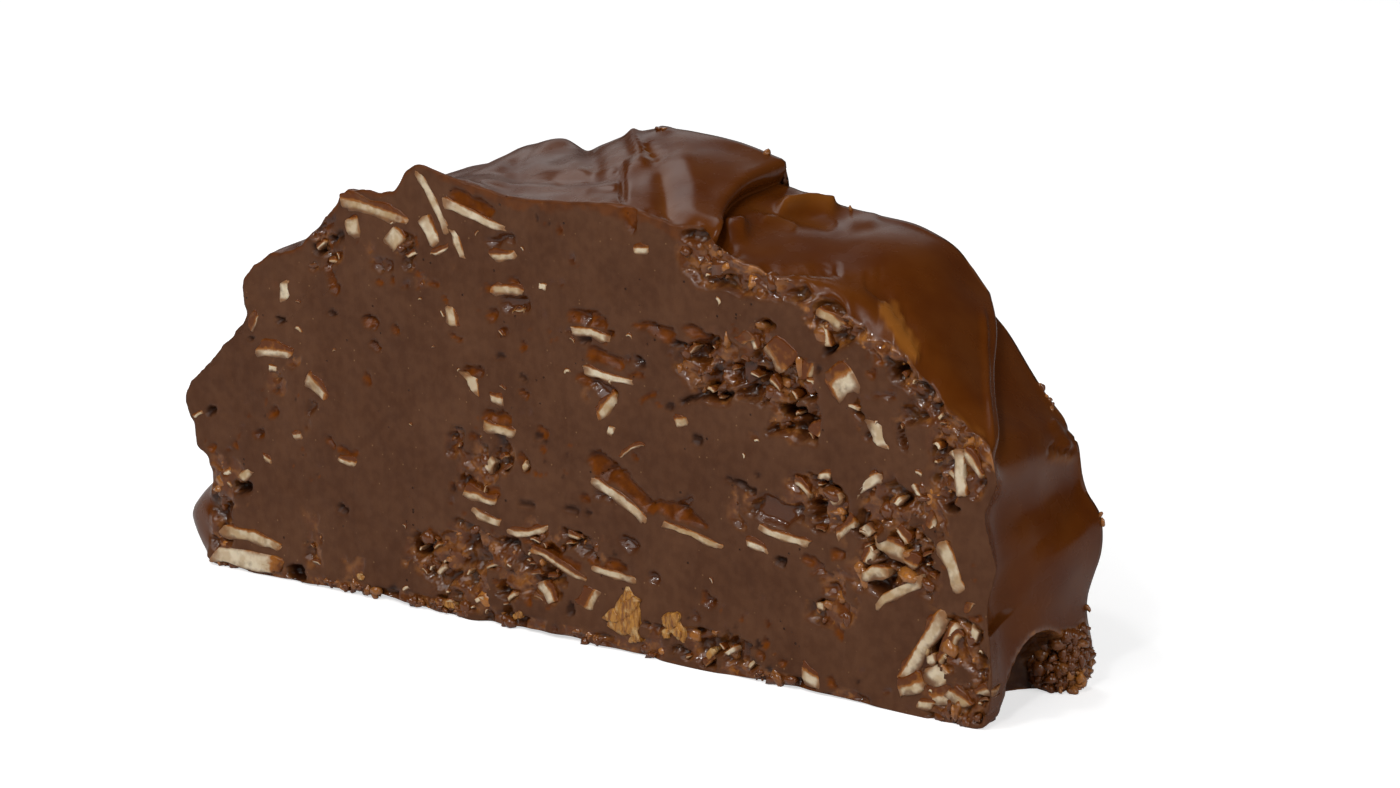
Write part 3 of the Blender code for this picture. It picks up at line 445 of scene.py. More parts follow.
class Grain:
    """Repeatable noise over whole arrays of points."""

    PRIMES = (374761393, 668265263, 1440662683)

    @classmethod
    def hashed(cls, cells: Array, seed: int) -> Array:
        """Gives each whole-number cell its own value, by multiplying and shifting its coordinates.

        Args:
            cells: Whole numbers, the last axis holding one cell's coordinates.
            seed: Picks another set of values.

        Returns:
            Values from 0 to 1, one for each cell.
        """
        mixed = (cells * np.array(cls.PRIMES[: cells.shape[-1]])).sum(-1) + seed * 1013904223
        mixed = ((mixed ^ (mixed >> 13)) * 1274126177) & 0xFFFFFFFF
        mixed = ((mixed ^ (mixed >> 15)) * 2246822519) & 0xFFFFFFFF
        return ((mixed ^ (mixed >> 16)) & 0xFFFFFF) / float(0x1000000)

    @classmethod
    def smooth(cls, points: Array, size: float, seed: int = 0) -> Array:
        """Smooth noise: the hashed values at the corners round p / size, mixed by eased distances.

        Args:
            points: Points in millimetres, in two or three dimensions.
            size: The width of a lump.
            seed: Picks another pattern.

        Returns:
            Values from -1 to 1.
        """
        scaled = points / size
        cell = np.floor(scaled).astype(np.int64)
        share = smooth_step(scaled - cell)
        total = np.zeros(points.shape[:-1])
        for corner in itertools.product((0, 1), repeat=points.shape[-1]):
            weight = np.prod(np.where(np.array(corner) == 1, share, 1.0 - share), axis=-1)
            total += weight * cls.hashed(cell + np.array(corner), seed)
        return total * 2.0 - 1.0

    @classmethod
    def layered(cls, points: Array, size: float, octaves: int, seed: int = 0) -> Array:
        """Adds octaves of smooth noise: the sum of n(p, size / 2^k) / 2^k."""
        return sum(cls.smooth(points, size / 2**k, seed + k) / 2**k for k in range(octaves))

    @classmethod
    def pair(cls, points: Array, size: float, octaves: int, seed: int, step: int) -> Array:
        """Two layered noises side by side, their seeds a step apart, to shift places by."""
        return np.stack([cls.layered(points, size, octaves, seed + step * k) for k in (0, 1)], axis=-1)

    @classmethod
    def cells(cls, points: Array, size: float, seed: int = 0) -> tuple[Array, Array]:
        """Distance to the nearest of one random point per cell, with that cell's own value.

        Args:
            points: Points in millimetres, in two or three dimensions.
            size: The width of a cell.
            seed: Picks another pattern.

        Returns:
            The distance in cell widths, and a value from 0 to 1 for the nearest point.
        """
        scaled = points / size
        cell = np.floor(scaled).astype(np.int64)
        nearest = np.full(points.shape[:-1], 9.0)
        value = np.zeros(points.shape[:-1])
        for step in itertools.product((-1, 0, 1), repeat=points.shape[-1]):
            around = cell + np.array(step)
            spot = around + np.stack(
                [cls.hashed(around, seed + 11 * axis) for axis in range(points.shape[-1])], axis=-1
            )
            distance = np.linalg.norm(scaled - spot, axis=-1)
            closer = distance < nearest
            nearest = np.where(closer, distance, nearest)
            value = np.where(closer, cls.hashed(around, seed + 97), value)
        return nearest, value


class Outline:
    """The slice's closed outline at any depth, a Catmull-Rom curve through the points of the cut face."""

    def __init__(self) -> None:
        """Builds the sharp outline of the cut face, the softened one behind it and the skin's rises."""
        sides = (LEFT_SIDE, TOP_SIDE, RIGHT_SIDE, BASE_SIDE)
        self.sharp = self.through(np.array([point for side in sides for point in side]))
        self.corners = np.cumsum([0] + [len(side) for side in sides]) * CURVE_STEPS
        steps = np.linalg.norm(np.diff(np.vstack([self.sharp, self.sharp[:1]]), axis=0), axis=1)
        self.along = np.concatenate([[0.0], np.cumsum(steps)])
        self.soft = self.averaged()
        half = CURVE_STEPS // 2
        ahead = np.roll(self.soft, -half, axis=0) - np.roll(self.soft, half, axis=0)
        ahead /= np.linalg.norm(ahead, axis=1)[:, None]
        self.outward = np.stack([-ahead[:, 1], ahead[:, 0]], axis=1)
        self.rises = self.rise_stations()
        self.nicks = self.edge_nicks()
        self.lean_from, self.lean_by, self.lean_bow = self.lean_stations()

    @staticmethod
    def through(points: Array) -> Array:
        """Catmull-Rom curve: p(t) = (2 p1 + (p2 - p0) t + (2 p0 - 5 p1 + 4 p2 - p3) t^2 + ...) / 2.

        Args:
            points: The closed outline's points, x and z.

        Returns:
            CURVE_STEPS points for each point given.
        """
        before, after, beyond = np.roll(points, 1, 0), np.roll(points, -1, 0), np.roll(points, -2, 0)
        t = np.arange(CURVE_STEPS)[:, None, None] / CURVE_STEPS
        curve = 0.5 * (
            2 * points + (after - before) * t + (2 * before - 5 * points + 4 * after - beyond) * t**2
            + (3 * points - before - 3 * after + beyond) * t**3
        )
        return curve.transpose(1, 0, 2).reshape(-1, 2)

    def evened(self, columns: Array, window: float) -> Array:
        """Averages columns of the curve with a raised-cosine window that slides along its length.

        Args:
            columns: One row for each curve point.
            window: The window's length in millimetres.

        Returns:
            The averaged columns.
        """
        total = self.along[-1]
        even = np.linspace(0.0, total, EVEN_SAMPLES, endpoint=False)
        closed = np.vstack([columns, columns[:1]])
        values = np.stack([np.interp(even, self.along, column) for column in closed.T], axis=1)
        half = int(window / total * len(even) / 2)
        weights = np.hanning(2 * half + 3)[1:-1]
        weights /= weights.sum()
        wrapped = np.vstack([values[-half:], values, values[:half]])
        smooth = [np.convolve(column, weights, "valid") for column in wrapped.T]
        return np.stack([np.interp(self.along[:-1], even, column, period=total) for column in smooth], axis=1)

    def averaged(self) -> Array:
        """Averages the outline's small bumps away, except on the base, which stays flat.

        Returns:
            The softened outline, point for point with the sharp one.
        """
        soft = self.evened(self.sharp, SMOOTHING_WINDOW)
        base = self.corners[3]
        soft[base:, 0] = self.sharp[base:, 0]
        soft[base:, 1] = 0.0
        return soft

    def edge_nicks(self) -> Array:
        """Small nicks and bumps along the cut edge, stronger where the edge is crumbly, none on the base.

        Returns:
            How far each point of the sharp outline is moved outwards.
        """
        x, z = self.sharp.T
        crumbly = np.exp(-(((x + 30.0) / 26.0) ** 2)) * (z > 20.0)
        rough = 0.10 + 0.22 * crumbly + 0.14 * smooth_step((-96.0 - x) / 6.0)
        nicks = Grain.layered(self.sharp, 1.7, 4, 5) * rough
        nicks[self.corners[3]:] = 0.0
        return nicks

    def nearest(self, point: Pair) -> int:
        """Finds the curve point nearest to a point of the cut face."""
        return int(np.argmin(np.linalg.norm(self.sharp - np.array(point), axis=1)))

    def rise_stations(self) -> Array:
        """The skin's rise at three depths for each point of the curve, zero on the base.

        Returns:
            An array of three rows, one for each depth after the first.
        """
        places, values = [0.0], [[0.0] * 3]
        for near, *rises in SKIN_RISES:
            places.append(self.along[self.nearest(near)])
            values.append(rises)
        places += [self.along[self.corners[3]], self.along[-1]]
        values += [[0.0] * 3] * 2
        rises = np.array([np.interp(self.along[:-1], places, column) for column in np.array(values).T])
        rises = self.evened(rises.T, RISE_WINDOW).T * smooth_step(self.sharp[:, 1] / 1.5)
        rises[:, self.corners[3]:] = 0.0
        return rises

    def lean_stations(self) -> tuple[Array, Array, Array]:
        """Where grid lines lean along the outline so that they follow each fold, and by how much at the back.

        Returns:
            Lengths along the outline, the lean there at full depth, and how bowed it is.
        """
        stations = [(0.0, 0.0, 1.0), (self.along[self.corners[1]], 0.0, 1.0)]
        for fold in FOLDS:
            front, back = self.along[self.nearest(fold.front)], self.along[self.nearest(fold.back)]
            stations.append((front, back - front, fold.bow))
        stations += [(self.along[self.corners[3]], 0.0, 1.0), (self.along[-1], 0.0, 1.0)]
        return tuple(np.array(stations).T)

    @staticmethod
    def bowed(inward: Array, bow: Array | float) -> Array:
        """How far along its way a fold is at a depth: 1 - (1 - t) ^ bow."""
        return 1.0 - np.clip(1.0 - inward / SLICE_DEPTH, 0.0, 1.0) ** bow

    def leaned(self, place: Array, inward: Array) -> Array:
        """Moves places along the outline with depth: length + lean(length) * bowed(inward).

        Args:
            place: Place on the curve, counted in curve steps.
            inward: Depth behind the cut face.

        Returns:
            The moved places.
        """
        index = np.arange(len(self.along))
        length = np.interp(place, index, self.along)
        bow = np.interp(length, self.lean_from, self.lean_bow)
        moved = length + np.interp(length, self.lean_from, self.lean_by) * self.bowed(inward, bow)
        return np.interp(moved, self.along, index)

    def folds(self, length: Array, inward: Array) -> tuple[Array, Array]:
        """The rise and drop on the two sides of each fold's lip: h exp(-a / reach) and -d exp(-b / shade).

        The raised side also slides over the other, and the other under it, by two bell curves.

        Args:
            length: Millimetres along the outline.
            inward: Depth behind the cut face.

        Returns:
            The outward move and the move along the outline, none at the cut edge itself.
        """
        total, slide = np.zeros_like(length), np.zeros_like(length)
        for fold in FOLDS:
            front, back = self.along[self.nearest(fold.front)], self.along[self.nearest(fold.back)]
            before = front + (back - front) * self.bowed(inward, fold.bow) - length
            raised = smooth_step(before / fold.step + 0.5)
            lift = raised * fold.height * np.exp(-np.clip(before, 0, None) / fold.reach)
            lift -= (1 - raised) * fold.drop * np.exp(np.clip(before, None, 0) / fold.shade)
            start = smooth_step(inward / fold.start)
            total += lift * start
            over = np.exp(-(((before - 0.5) / 0.9) ** 2)) - 0.8 * np.exp(-(((before + 1.0) / 0.9) ** 2))
            slide += fold.overhang * over * start
        return total, slide

    def at(self, place: Array, inward: Array, extra: Array | float = 0.0) -> Array:
        """Points of the outline: the sharp one blended into the soft one, moved outwards by the rises.

        Args:
            place: Place on the curve, counted in curve steps.
            inward: Depth behind the cut face.
            extra: A further outward move.

        Returns:
            x and z of each point.
        """
        blend = smooth_step(inward / EDGE_BLEND_DEPTH)
        index = np.arange(len(self.sharp) + 1)

        def read(column: Array) -> Array:
            """Reads a column of the curve between its points."""
            return np.interp(place, index, np.append(column, column[0]))

        rises = [np.zeros_like(place)] + [read(station) for station in self.rises]
        length = np.interp(place, index, self.along)
        lift, slide = self.folds(length, inward)
        rise = lift + read(self.nicks) * np.exp(-inward / 1.2) + extra + self.hermite(rises, inward)
        sharp = np.stack([read(self.sharp[:, i]) for i in (0, 1)], axis=-1)
        soft = np.stack([read(self.soft[:, i]) for i in (0, 1)], axis=-1)
        outward = np.stack([read(self.outward[:, i]) for i in (0, 1)], axis=-1)
        ahead = np.stack([outward[..., 1], -outward[..., 0]], axis=-1)
        moved = outward * rise[..., None] + ahead * slide[..., None]
        return sharp * (1 - blend)[..., None] + soft * blend[..., None] + moved

    @staticmethod
    def hermite(rises: list[Array], inward: Array) -> Array:
        """Cubic curve through the rises: each span uses its two values and the slopes of its neighbours.

        Args:
            rises: The rise at each of RISE_DEPTHS.
            inward: Depth behind the cut face.

        Returns:
            The rise at the asked depths.
        """
        total = np.zeros_like(inward)
        last = len(RISE_DEPTHS) - 1
        slopes = []
        for here in range(last + 1):
            low, high = max(here - 1, 0), min(here + 1, last)
            slopes.append((rises[high] - rises[low]) / (RISE_DEPTHS[high] - RISE_DEPTHS[low]))
        for here, (near, far) in enumerate(zip(RISE_DEPTHS, RISE_DEPTHS[1:])):
            span = far - near
            t = np.clip((inward - near) / span, 0.0, 1.0)
            value = (2 * t**3 - 3 * t**2 + 1) * rises[here] + (t**3 - 2 * t**2 + t) * span * slopes[here]
            value += (3 * t**2 - 2 * t**3) * rises[here + 1] + (t**3 - t**2) * span * slopes[here + 1]
            inside = (inward > near) & (inward <= far + 1e-9)
            total += np.where(inside, value, 0.0)
        return total

    def side_place(self, side: int, share: Array, backwards: bool = False) -> Array:
        """The place on the curve at a share, by length, of one of the four sides.

        Args:
            side: 0 left, 1 top, 2 right, 3 base.
            share: From 0 to 1.
            backwards: Whether the share counts from the side's end.

        Returns:
            Places, counted in curve steps.
        """
        first, last = self.corners[side], self.corners[side + 1]
        share = 1 - share if backwards else share
        wanted = self.along[first] + share * (self.along[last] - self.along[first])
        return np.interp(wanted, self.along, np.arange(len(self.along)))

    def filled(self, u: Array, v: Array, inward: float) -> Array:
        """A Coons patch over the outline: (1-u) left + u right + (1-v) base + v top, less the corners' mix.

        Args:
            u: Shares along the slice.
            v: Shares up the slice.
            inward: Depth behind the cut face, one for all.

        Returns:
            x and z of each point.
        """
        depth = np.full_like(u, inward)

        def edge(place: Array) -> Array:
            """Reads the leaned outline."""
            return self.at(self.leaned(place, depth), depth)

        left = edge(self.side_place(0, v))
        top = edge(self.side_place(1, u))
        right = edge(self.side_place(2, v, backwards=True))
        base = edge(self.side_place(3, u, backwards=True))
        low_left, high_left, high_right, low_right = (
            edge(np.full_like(u, float(corner))) for corner in self.corners[:4]
        )
        u, v = u[..., None], v[..., None]
        across = (1 - u) * left + u * right
        upward = (1 - v) * base + v * top
        corners = (1 - v) * ((1 - u) * low_left + u * low_right)
        corners = corners + v * ((1 - u) * high_left + u * high_right)
        return across + upward - corners


@dataclass
class FaceRelief:
    """How far each point of a cut face is sunk, and what it looks like there."""

    sunk: Array
    imprint: Array
    crumb: Array
    # Painted shade: darkening laid on holes, deep crevices of the crumbled zones, the upper part of each
    # imprint and the inside of the undercut.
    painted_shade: Array
    shiny: Array


@dataclass(frozen=True)
class CutFace:
    """The relief of a cut face: a slow wave, crumbled zones, and the hollows that the almonds left."""

    seed: int
    strips: tuple[Strip, ...]
    zones: tuple[Zone, ...]

    def relief(self, xz: Array) -> FaceRelief:
        """Works out the relief: wave + zones * (lumps + grains), then each hollow's own depth on top.

        Args:
            xz: Points of the face in millimetres, any shape with x and z last.

        Returns:
            The relief and its marks, shaped like the points.
        """
        crumb, rough = self.crumbled(xz)
        lumps = self.broken(xz)
        hollows = smooth_step(Grain.layered(xz, 3.0, 3, self.seed + 40) * 1.5 + 0.25)
        sunk = self.wave(xz) + crumb * rough * (lumps + hollows * 0.95 - 0.25)
        # Painted shade: the deepest crevices between lumps are marked to be coloured dark.
        crevice_shade = crumb * smooth_step(hollows * 1.4 + lumps - 1.35)
        raised = smooth_step(Grain.layered(xz, 2.2, 2, self.seed + 44) * 2.0 + 0.4)
        ridges = smooth_step(0.9 - 1.3 * lumps) * raised
        result = FaceRelief(sunk, crumb * ridges * 0.8, crumb, crevice_shade * 0.8, crumb * 0.4)
        self.add_strips(xz, result)
        result.sunk = np.maximum(result.sunk, -0.25)
        return result

    def wave(self, xz: Array) -> Array:
        """The depth of the knife's slow wave across the face, with a slighter one on top."""
        return 0.18 * Grain.smooth(xz, 17.0, self.seed) + 0.05 * Grain.layered(xz, 2.6, 2, self.seed + 1)

    def broken(self, xz: Array) -> Array:
        """Broken fudge: rounded lumps of random height, with sharp-edged pits on them and finer grains.

        Args:
            xz: Points of the face.

        Returns:
            The depth, from 0 to about 1.
        """
        warped = xz + 0.6 * Grain.pair(xz, 1.7, 2, self.seed + 80, 4)
        total = np.zeros(xz.shape[:-1])
        for number, (size, height, curve) in enumerate(((3.6, 0.6, 0.8), (2.1, 0.6, -1.1), (1.1, 0.2, 0.8))):
            distance, value = Grain.cells(warped, size, self.seed + 20 + 3 * number)
            total += height * (0.6 * value + curve * distance**2 + max(0.0, -0.45 * curve))
        return total

    def crumbled(self, xz: Array) -> tuple[Array, Array]:
        """How crumbled each point is: islands of noise inside a zone, falling to 0 across its noisy border.

        Args:
            xz: Points of the face.

        Returns:
            The crumbling from 0 to 1, and the roughness in millimetres.
        """
        border = Grain.layered(xz, 4.2, 3, self.seed + 50) * 0.22
        islands = Grain.layered(xz, 3.6, 4, self.seed + 55)
        crumb, rough = np.zeros(xz.shape[:-1]), np.zeros(xz.shape[:-1])
        for zone in self.zones:
            across = (xz[..., 0] - zone.x) / zone.half_width
            upward = (xz[..., 1] - zone.z) / zone.half_height
            inside = smooth_step((1.0 - np.hypot(across, upward) + border) / 0.28)
            inside = inside * smooth_step((islands + (zone.cover - 0.5) * 2.4) / 0.22 + 0.5)
            crumb = np.maximum(crumb, inside * min(1.0, zone.rough))
            rough = np.maximum(rough, inside * zone.rough)
        return crumb, rough

    def add_strips(self, xz: Array, result: FaceRelief) -> None:
        """Adds the named hollows: depth * eased share of the way in from the border of each.

        Args:
            xz: Points of the face.
            result: The relief that is deepened in place.
        """
        warped = xz + 0.42 * Grain.pair(xz, 1.9, 4, self.seed + 60, 10)
        for strip in self.strips:
            start, run = np.array([strip.x1, strip.z1]), np.array([strip.x2 - strip.x1, strip.z2 - strip.z1])
            share = np.clip(((warped - start) @ run) / max(run @ run, 1e-6), 0.0, 1.0)
            distance = np.linalg.norm(warped - start - share[..., None] * run, axis=-1)
            inner = strip.r1 + (strip.r2 - strip.r1) * share - distance
            mark = smooth_step(inner / 0.3 + 0.5)
            if strip.mark is Mark.IMPRINT:
                above = (warped[..., 1] - start[1] - share * run[1]) / max(strip.r1, strip.r2)
                upper = 0.25 + 0.75 * smooth_step(0.5 + 0.5 * above)
                result.sunk += strip.depth * smooth_step(inner / 0.4 + 0.3) * upper
                result.imprint = np.maximum(result.imprint, mark)
                # Painted shade: the upper, deeper part of each imprint is marked darker.
                result.painted_shade = np.maximum(result.painted_shade, 0.6 * mark * smooth_step(above * 0.9 + 0.1))
                continue
            result.sunk += strip.depth * smooth_step(inner / 0.8 + 0.3)
            # Holes are marked with painted shade; shiny hollows get the wet mark.
            name = "painted_shade" if strip.mark is Mark.HOLE else "shiny"
            setattr(result, name, np.maximum(getattr(result, name), mark))


class Skin:
    """The smooth outer skin: swells, creases, and the almonds that show under it."""

    @staticmethod
    def seen(points: Array) -> Array:
        """Where the sight line of each point meets the cut face's plane: s + (p - s) * |s_y| / |p_y - s_y|.

        Args:
            points: Points in millimetres.

        Returns:
            x and z on the plane.
        """
        sight = np.array(SIGHT_POINT)
        share = -sight[1] / (points[..., 1] - sight[1])
        return (sight + (points - sight) * share[..., None])[..., (0, 2)]

    @staticmethod
    def line_distance(spots: Array, line: tuple) -> tuple[Array, Array]:
        """Distance to a line of straight runs, and on which side of its nearest run a point lies.

        Args:
            spots: x and z of each point.
            line: The line's corners.

        Returns:
            The distance, and the signed distance that is positive to the line's right.
        """
        nearest, side = np.full(spots.shape[:-1], 1e3), np.zeros(spots.shape[:-1])
        for start, end in zip(np.array(line), np.array(line)[1:]):
            run = end - start
            share = np.clip(((spots - start) @ run) / (run @ run), 0.0, 1.0)
            away = spots - start - share[..., None] * run
            distance = np.linalg.norm(away, axis=-1)
            across = ((spots - start) @ np.array([run[1], -run[0]])) / np.linalg.norm(run)
            closer = distance < nearest
            side = np.where(closer, np.sign(across) * distance, side)
            nearest = np.where(closer, distance, nearest)
        return nearest, side

    @classmethod
    def relief(cls, inward: Array, xz: Array) -> tuple[Array, Array]:
        """The skin's outward move: slow swells, fading at the two cut edges, and each mark's bell or step.

        Args:
            inward: Depth behind the cut face.
            xz: The outline's point there.

        Returns:
            The outward move in millimetres, and how amber the skin is.
        """
        points = np.stack([xz[..., 0], inward, xz[..., 1]], axis=-1)
        swell = 0.3 * Grain.smooth(points, 10.0, 200) + 0.07 * Grain.smooth(points, 4.2, 201)
        move = swell * smooth_step(inward / 2.5) * smooth_step((SLICE_DEPTH - inward) / 1.5)
        amber = np.zeros_like(inward)
        spots = cls.seen(points) + 0.3 * Grain.pair(points, 3.1, 1, 210, 1)
        edge = smooth_step(inward) * smooth_step((xz[..., 0] + 95.0) / 6.0)
        for mark in SKIN_MARKS:
            distance, side = cls.line_distance(spots, mark.line)
            if mark.kind is MarkKind.STEP:
                shape = -smooth_step(side / mark.width) * np.exp(-distance / (3 * mark.width)) * edge
            elif mark.kind is MarkKind.PATCH:
                shape = smooth_step((mark.width - distance) / 0.45 + 0.5) * edge
            else:
                shape = np.exp(-((distance / mark.width) ** 2)) * edge
            move += mark.height * shape
            amber = np.maximum(amber, mark.amber * shape)
        return move, amber


class MeshTools:
    """Turns arrays into Blender objects."""

    @staticmethod
    def build(name: str, vertices: Array, faces: list, marks: dict[str, Array]) -> bpy.types.Object:
        """Makes an object with smooth faces and one float attribute for each mark.

        Args:
            name: The object's name.
            vertices: Points in the frame's metres.
            faces: Tuples of vertex indices, or an array of quads.
            marks: Attribute names and their values, one for each vertex.

        Returns:
            The object, linked to the scene.
        """
        mesh = bpy.data.meshes.new(name)
        mesh.from_pydata(vertices.reshape(-1, 3).tolist(), [], faces)
        for mark, values in marks.items():
            attribute = mesh.attributes.new(mark, "FLOAT", "POINT")
            attribute.data.foreach_set("value", np.ascontiguousarray(values.reshape(-1), dtype=np.float32))
        mesh.shade_smooth()
        mesh.update()
        obj = bpy.data.objects.new(name, mesh)
        bpy.context.scene.collection.objects.link(obj)
        LOG.info("%s: %d vertices, %d faces", name, len(mesh.vertices), len(mesh.polygons))
        return obj


class FudgeBody:
    """The fudge: a closed block surface whose front is fine and whose back is half as fine."""

    def __init__(self, outline: Outline, size: GridSize) -> None:
        """Keeps the outline and the grid's size, and makes both cut faces.

        Args:
            outline: The slice's outline.
            size: Cells along, up and in.
        """
        self.outline = outline
        self.size = size
        self.front = CutFace(100, STRIPS + small_pits(PitPlan(), 31), ZONES)
        turned = tuple(replace(strip, x1=FACE_TURN - strip.x1, x2=FACE_TURN - strip.x2) for strip in STRIPS)
        zones = tuple(replace(zone, x=FACE_TURN - zone.x) for zone in ZONES)
        self.rear = CutFace(400, turned + small_pits(PitPlan(), 32), zones)
        self.wall = np.zeros((0, 3))
        self.border = np.zeros((0, 2))

    def ring_cells(self) -> Array:
        """Walks once round the grid's border: up the left, along the top, down the right, back on the base.

        Returns:
            Whole-number grid places, i along and j up.
        """
        n, m = self.size.along, self.size.up
        left = np.stack([np.zeros(m, int), np.arange(m)], axis=1)
        top = np.stack([np.arange(n), np.full(n, m)], axis=1)
        right = np.stack([np.full(m, n), np.arange(m, 0, -1)], axis=1)
        base = np.stack([np.arange(n, 0, -1), np.zeros(n, int)], axis=1)
        return np.concatenate([left, top, right, base])

    def ring_places(self) -> Array:
        """The curve places of the border's grid points, evenly spaced by length within each side.

        Returns:
            Places, counted in curve steps.
        """
        n, m = self.size.along, self.size.up
        shares = [np.arange(count) / count for count in (m, n, m, n)]
        return np.concatenate([self.outline.side_place(side, share) for side, share in enumerate(shares)])

    def build(self) -> bpy.types.Object:
        """Makes the body: the front grid, rings of skin behind its border, and the coarser back grid.

        Returns:
            The body object.
        """
        n, m, k = self.size.along, self.size.up, self.size.inward
        u, v = np.meshgrid(np.arange(n + 1) / n, np.arange(m + 1) / m, indexing="ij")
        front_xz = self.outline.filled(u, v, 0.0)
        front = self.front.relief(front_xz)
        self.add_rim(front_xz, front)
        front_y = np.maximum(front.sunk, FACE_FRONT + 0.05)
        cells = self.ring_cells()
        places = self.ring_places()
        coarse_u, coarse_v = np.meshgrid(np.arange(2, n, 2) / n, np.arange(2, m, 2) / m, indexing="ij")
        back_xz = self.outline.filled(coarse_u, coarse_v, SLICE_DEPTH)
        back = self.rear.relief(back_xz)
        back_y = SLICE_DEPTH - np.maximum(back.sunk, BACK_PROUD)

        ring_front = self.evened_ring(front_y[cells[:, 0], cells[:, 1]])
        front_y[cells[:, 0], cells[:, 1]] = ring_front
        full_depth = np.full_like(places, SLICE_DEPTH)
        edge_xz = self.outline.at(self.outline.leaned(places, full_depth), full_depth)
        ring_back = SLICE_DEPTH - np.maximum(self.rear.relief(edge_xz).sunk, BACK_PROUD)
        steps = np.arange(1, k + 1) / k
        steps = 0.55 * steps + 0.45 * (1 - np.cos(math.pi * steps)) / 2
        nominal = np.broadcast_to(steps[:, None] * SLICE_DEPTH, (k, len(cells)))
        behind = SLICE_DEPTH - nominal
        inward = nominal + ring_front * np.exp(-nominal / EDGE_FADE) * (behind > 0)
        inward = inward + (ring_back - SLICE_DEPTH) * np.exp(-behind / EDGE_FADE)
        all_places = self.outline.leaned(np.broadcast_to(places, inward.shape), nominal)
        plain_xz = self.outline.at(all_places, nominal)
        on_base = all_places > self.outline.corners[3]
        move, amber = Skin.relief(nominal, plain_xz)
        extra = np.where(on_base, 0.0, move * smooth_step(plain_xz[..., 1] / 2.0))
        ring_xz = self.outline.at(all_places, nominal, extra)

        def spot(xz: Array, y: Array) -> Array:
            """Joins x and z with y."""
            return np.stack([xz[..., 0], y, xz[..., 1]], axis=-1).reshape(-1, 3)

        points = np.concatenate([spot(front_xz, front_y), spot(ring_xz, inward), spot(back_xz, back_y)])
        skin = np.concatenate([np.zeros(front_y.size), np.ones(inward.size), np.zeros(back_y.size)])
        last_ring = front_y.size + (k - 1) * len(cells)
        skin[last_ring: last_ring + len(cells)] = 0.5
        foot = self.foot(points)
        plain = points
        points = self.hollowed(points)
        # Painted shade: the inside of the undercut is marked dark, the more so the further its points were
        # pushed in.
        hollow = smooth_step((np.linalg.norm(points - plain, axis=1) - 1.5) / 3.0)
        self.wall = points[front_y.size: front_y.size + inward.size]
        self.border = front_xz[cells[:, 0], cells[:, 1]]
        skin = skin * (1 - foot)
        marks = {
            name: np.concatenate(
                [getattr(front, name).reshape(-1), np.zeros(inward.size), getattr(back, name).reshape(-1)]
            )
            for name in ("imprint", "crumb", "painted_shade", "shiny")
        }
        marks["skin"] = skin
        marks["crumb"] = np.maximum(marks["crumb"], foot)
        marks["painted_shade"] = np.maximum(marks["painted_shade"], hollow)
        marks["amber"] = np.concatenate([np.zeros(front_y.size), amber.reshape(-1), np.zeros(back_y.size)])
        obj = MeshTools.build("fudge_slice", to_frame(points), self.faces(cells), marks)
        return obj

    @staticmethod
    def evened_ring(depths: Array) -> Array:
        """Averages depths along the closed border with a raised-cosine window of eleven points.

        Args:
            depths: One depth for each border point, in order.

        Returns:
            The averaged depths.
        """
        window = np.hanning(13)[1:-1]
        reach = len(window) // 2
        wrapped = np.concatenate([depths[-reach:], depths, depths[:reach]])
        return np.convolve(wrapped, window / window.sum(), mode="valid")

    @staticmethod
    def add_rim(xz: Array, relief: FaceRelief) -> None:
        """Marks the band of skin that the knife left along the cut face's top, smooth first and then crumbly.

        The band reaches as far below the face's top as its width there, give or take a layer of noise.

        Args:
            xz: The front grid's points, up along the second axis.
            relief: The relief whose marks are raised in place.
        """
        x = xz[..., 0]
        under = xz[:, -1:, 1] - xz[..., 1]
        width = np.interp(x, RIM_PLACES, RIM_WIDTHS)
        ragged = width * (1.0 + 0.5 * Grain.layered(xz, 2.4, 4, 140)) - under
        band = smooth_step(ragged / 0.5 + 0.5)
        crumbly = smooth_step((x + 50.0) / 6.0)
        relief.imprint = np.maximum(relief.imprint, 0.55 * band * (1 - crumbly))
        relief.crumb = np.maximum(relief.crumb, band * crumbly)
        relief.sunk = relief.sunk + 0.5 * band * crumbly * (Grain.layered(xz, 1.6, 3, 150) + 0.3)

    @staticmethod
    def foot(points: Array) -> Array:
        """Marks the undercut's walls and the crumbly foot behind it, with a noisy border.

        Args:
            points: The body's points in millimetres, before they are hollowed.

        Returns:
            From 0 on the skin to 1 on the crumbly parts.
        """
        reach = np.linalg.norm((points - np.array(UNDERCUT_CENTRE)) / np.array(UNDERCUT_RADII), axis=1)
        noise = 0.9 * Grain.layered(points, 2.6, 2, 90)
        inside = smooth_step((1.06 - reach + 0.04 * noise) / 0.06)
        low = smooth_step((FOOT_TOP - points[:, 2] + noise) / 0.8)
        behind = smooth_step((points[:, 1] - FOOT_START + noise) / 0.8)
        return np.maximum(inside, low * behind * smooth_step((points[:, 0] + 12.0) / 4.0))

    @staticmethod
    def hollowed(points: Array) -> Array:
        """Pushes points inside the undercut's ellipsoid out to its surface: c + r * d / |d|.

        Args:
            points: The body's points in millimetres.

        Returns:
            The moved points, none of them below the floor.
        """
        centre, radii = np.array(UNDERCUT_CENTRE), np.array(UNDERCUT_RADII)
        away = (points - centre) / radii
        reach = np.linalg.norm(away, axis=1)[:, None]
        points = np.where(reach < 1.0, centre + away / np.maximum(reach, 1e-6) * radii, points)
        points[:, 2] = np.maximum(points[:, 2], 0.0)
        points[:, 1] = np.clip(points[:, 1], FACE_FRONT, BACK_LIMIT)
        for axis, way, limit in BOX_LIMITS:
            past = (points[:, axis] * way - limit + LIMIT_EASE) / LIMIT_EASE
            eased = way * (limit - LIMIT_EASE + LIMIT_EASE * np.tanh(past))
            points[:, axis] = np.where(past > 0, eased, points[:, axis])
        return points

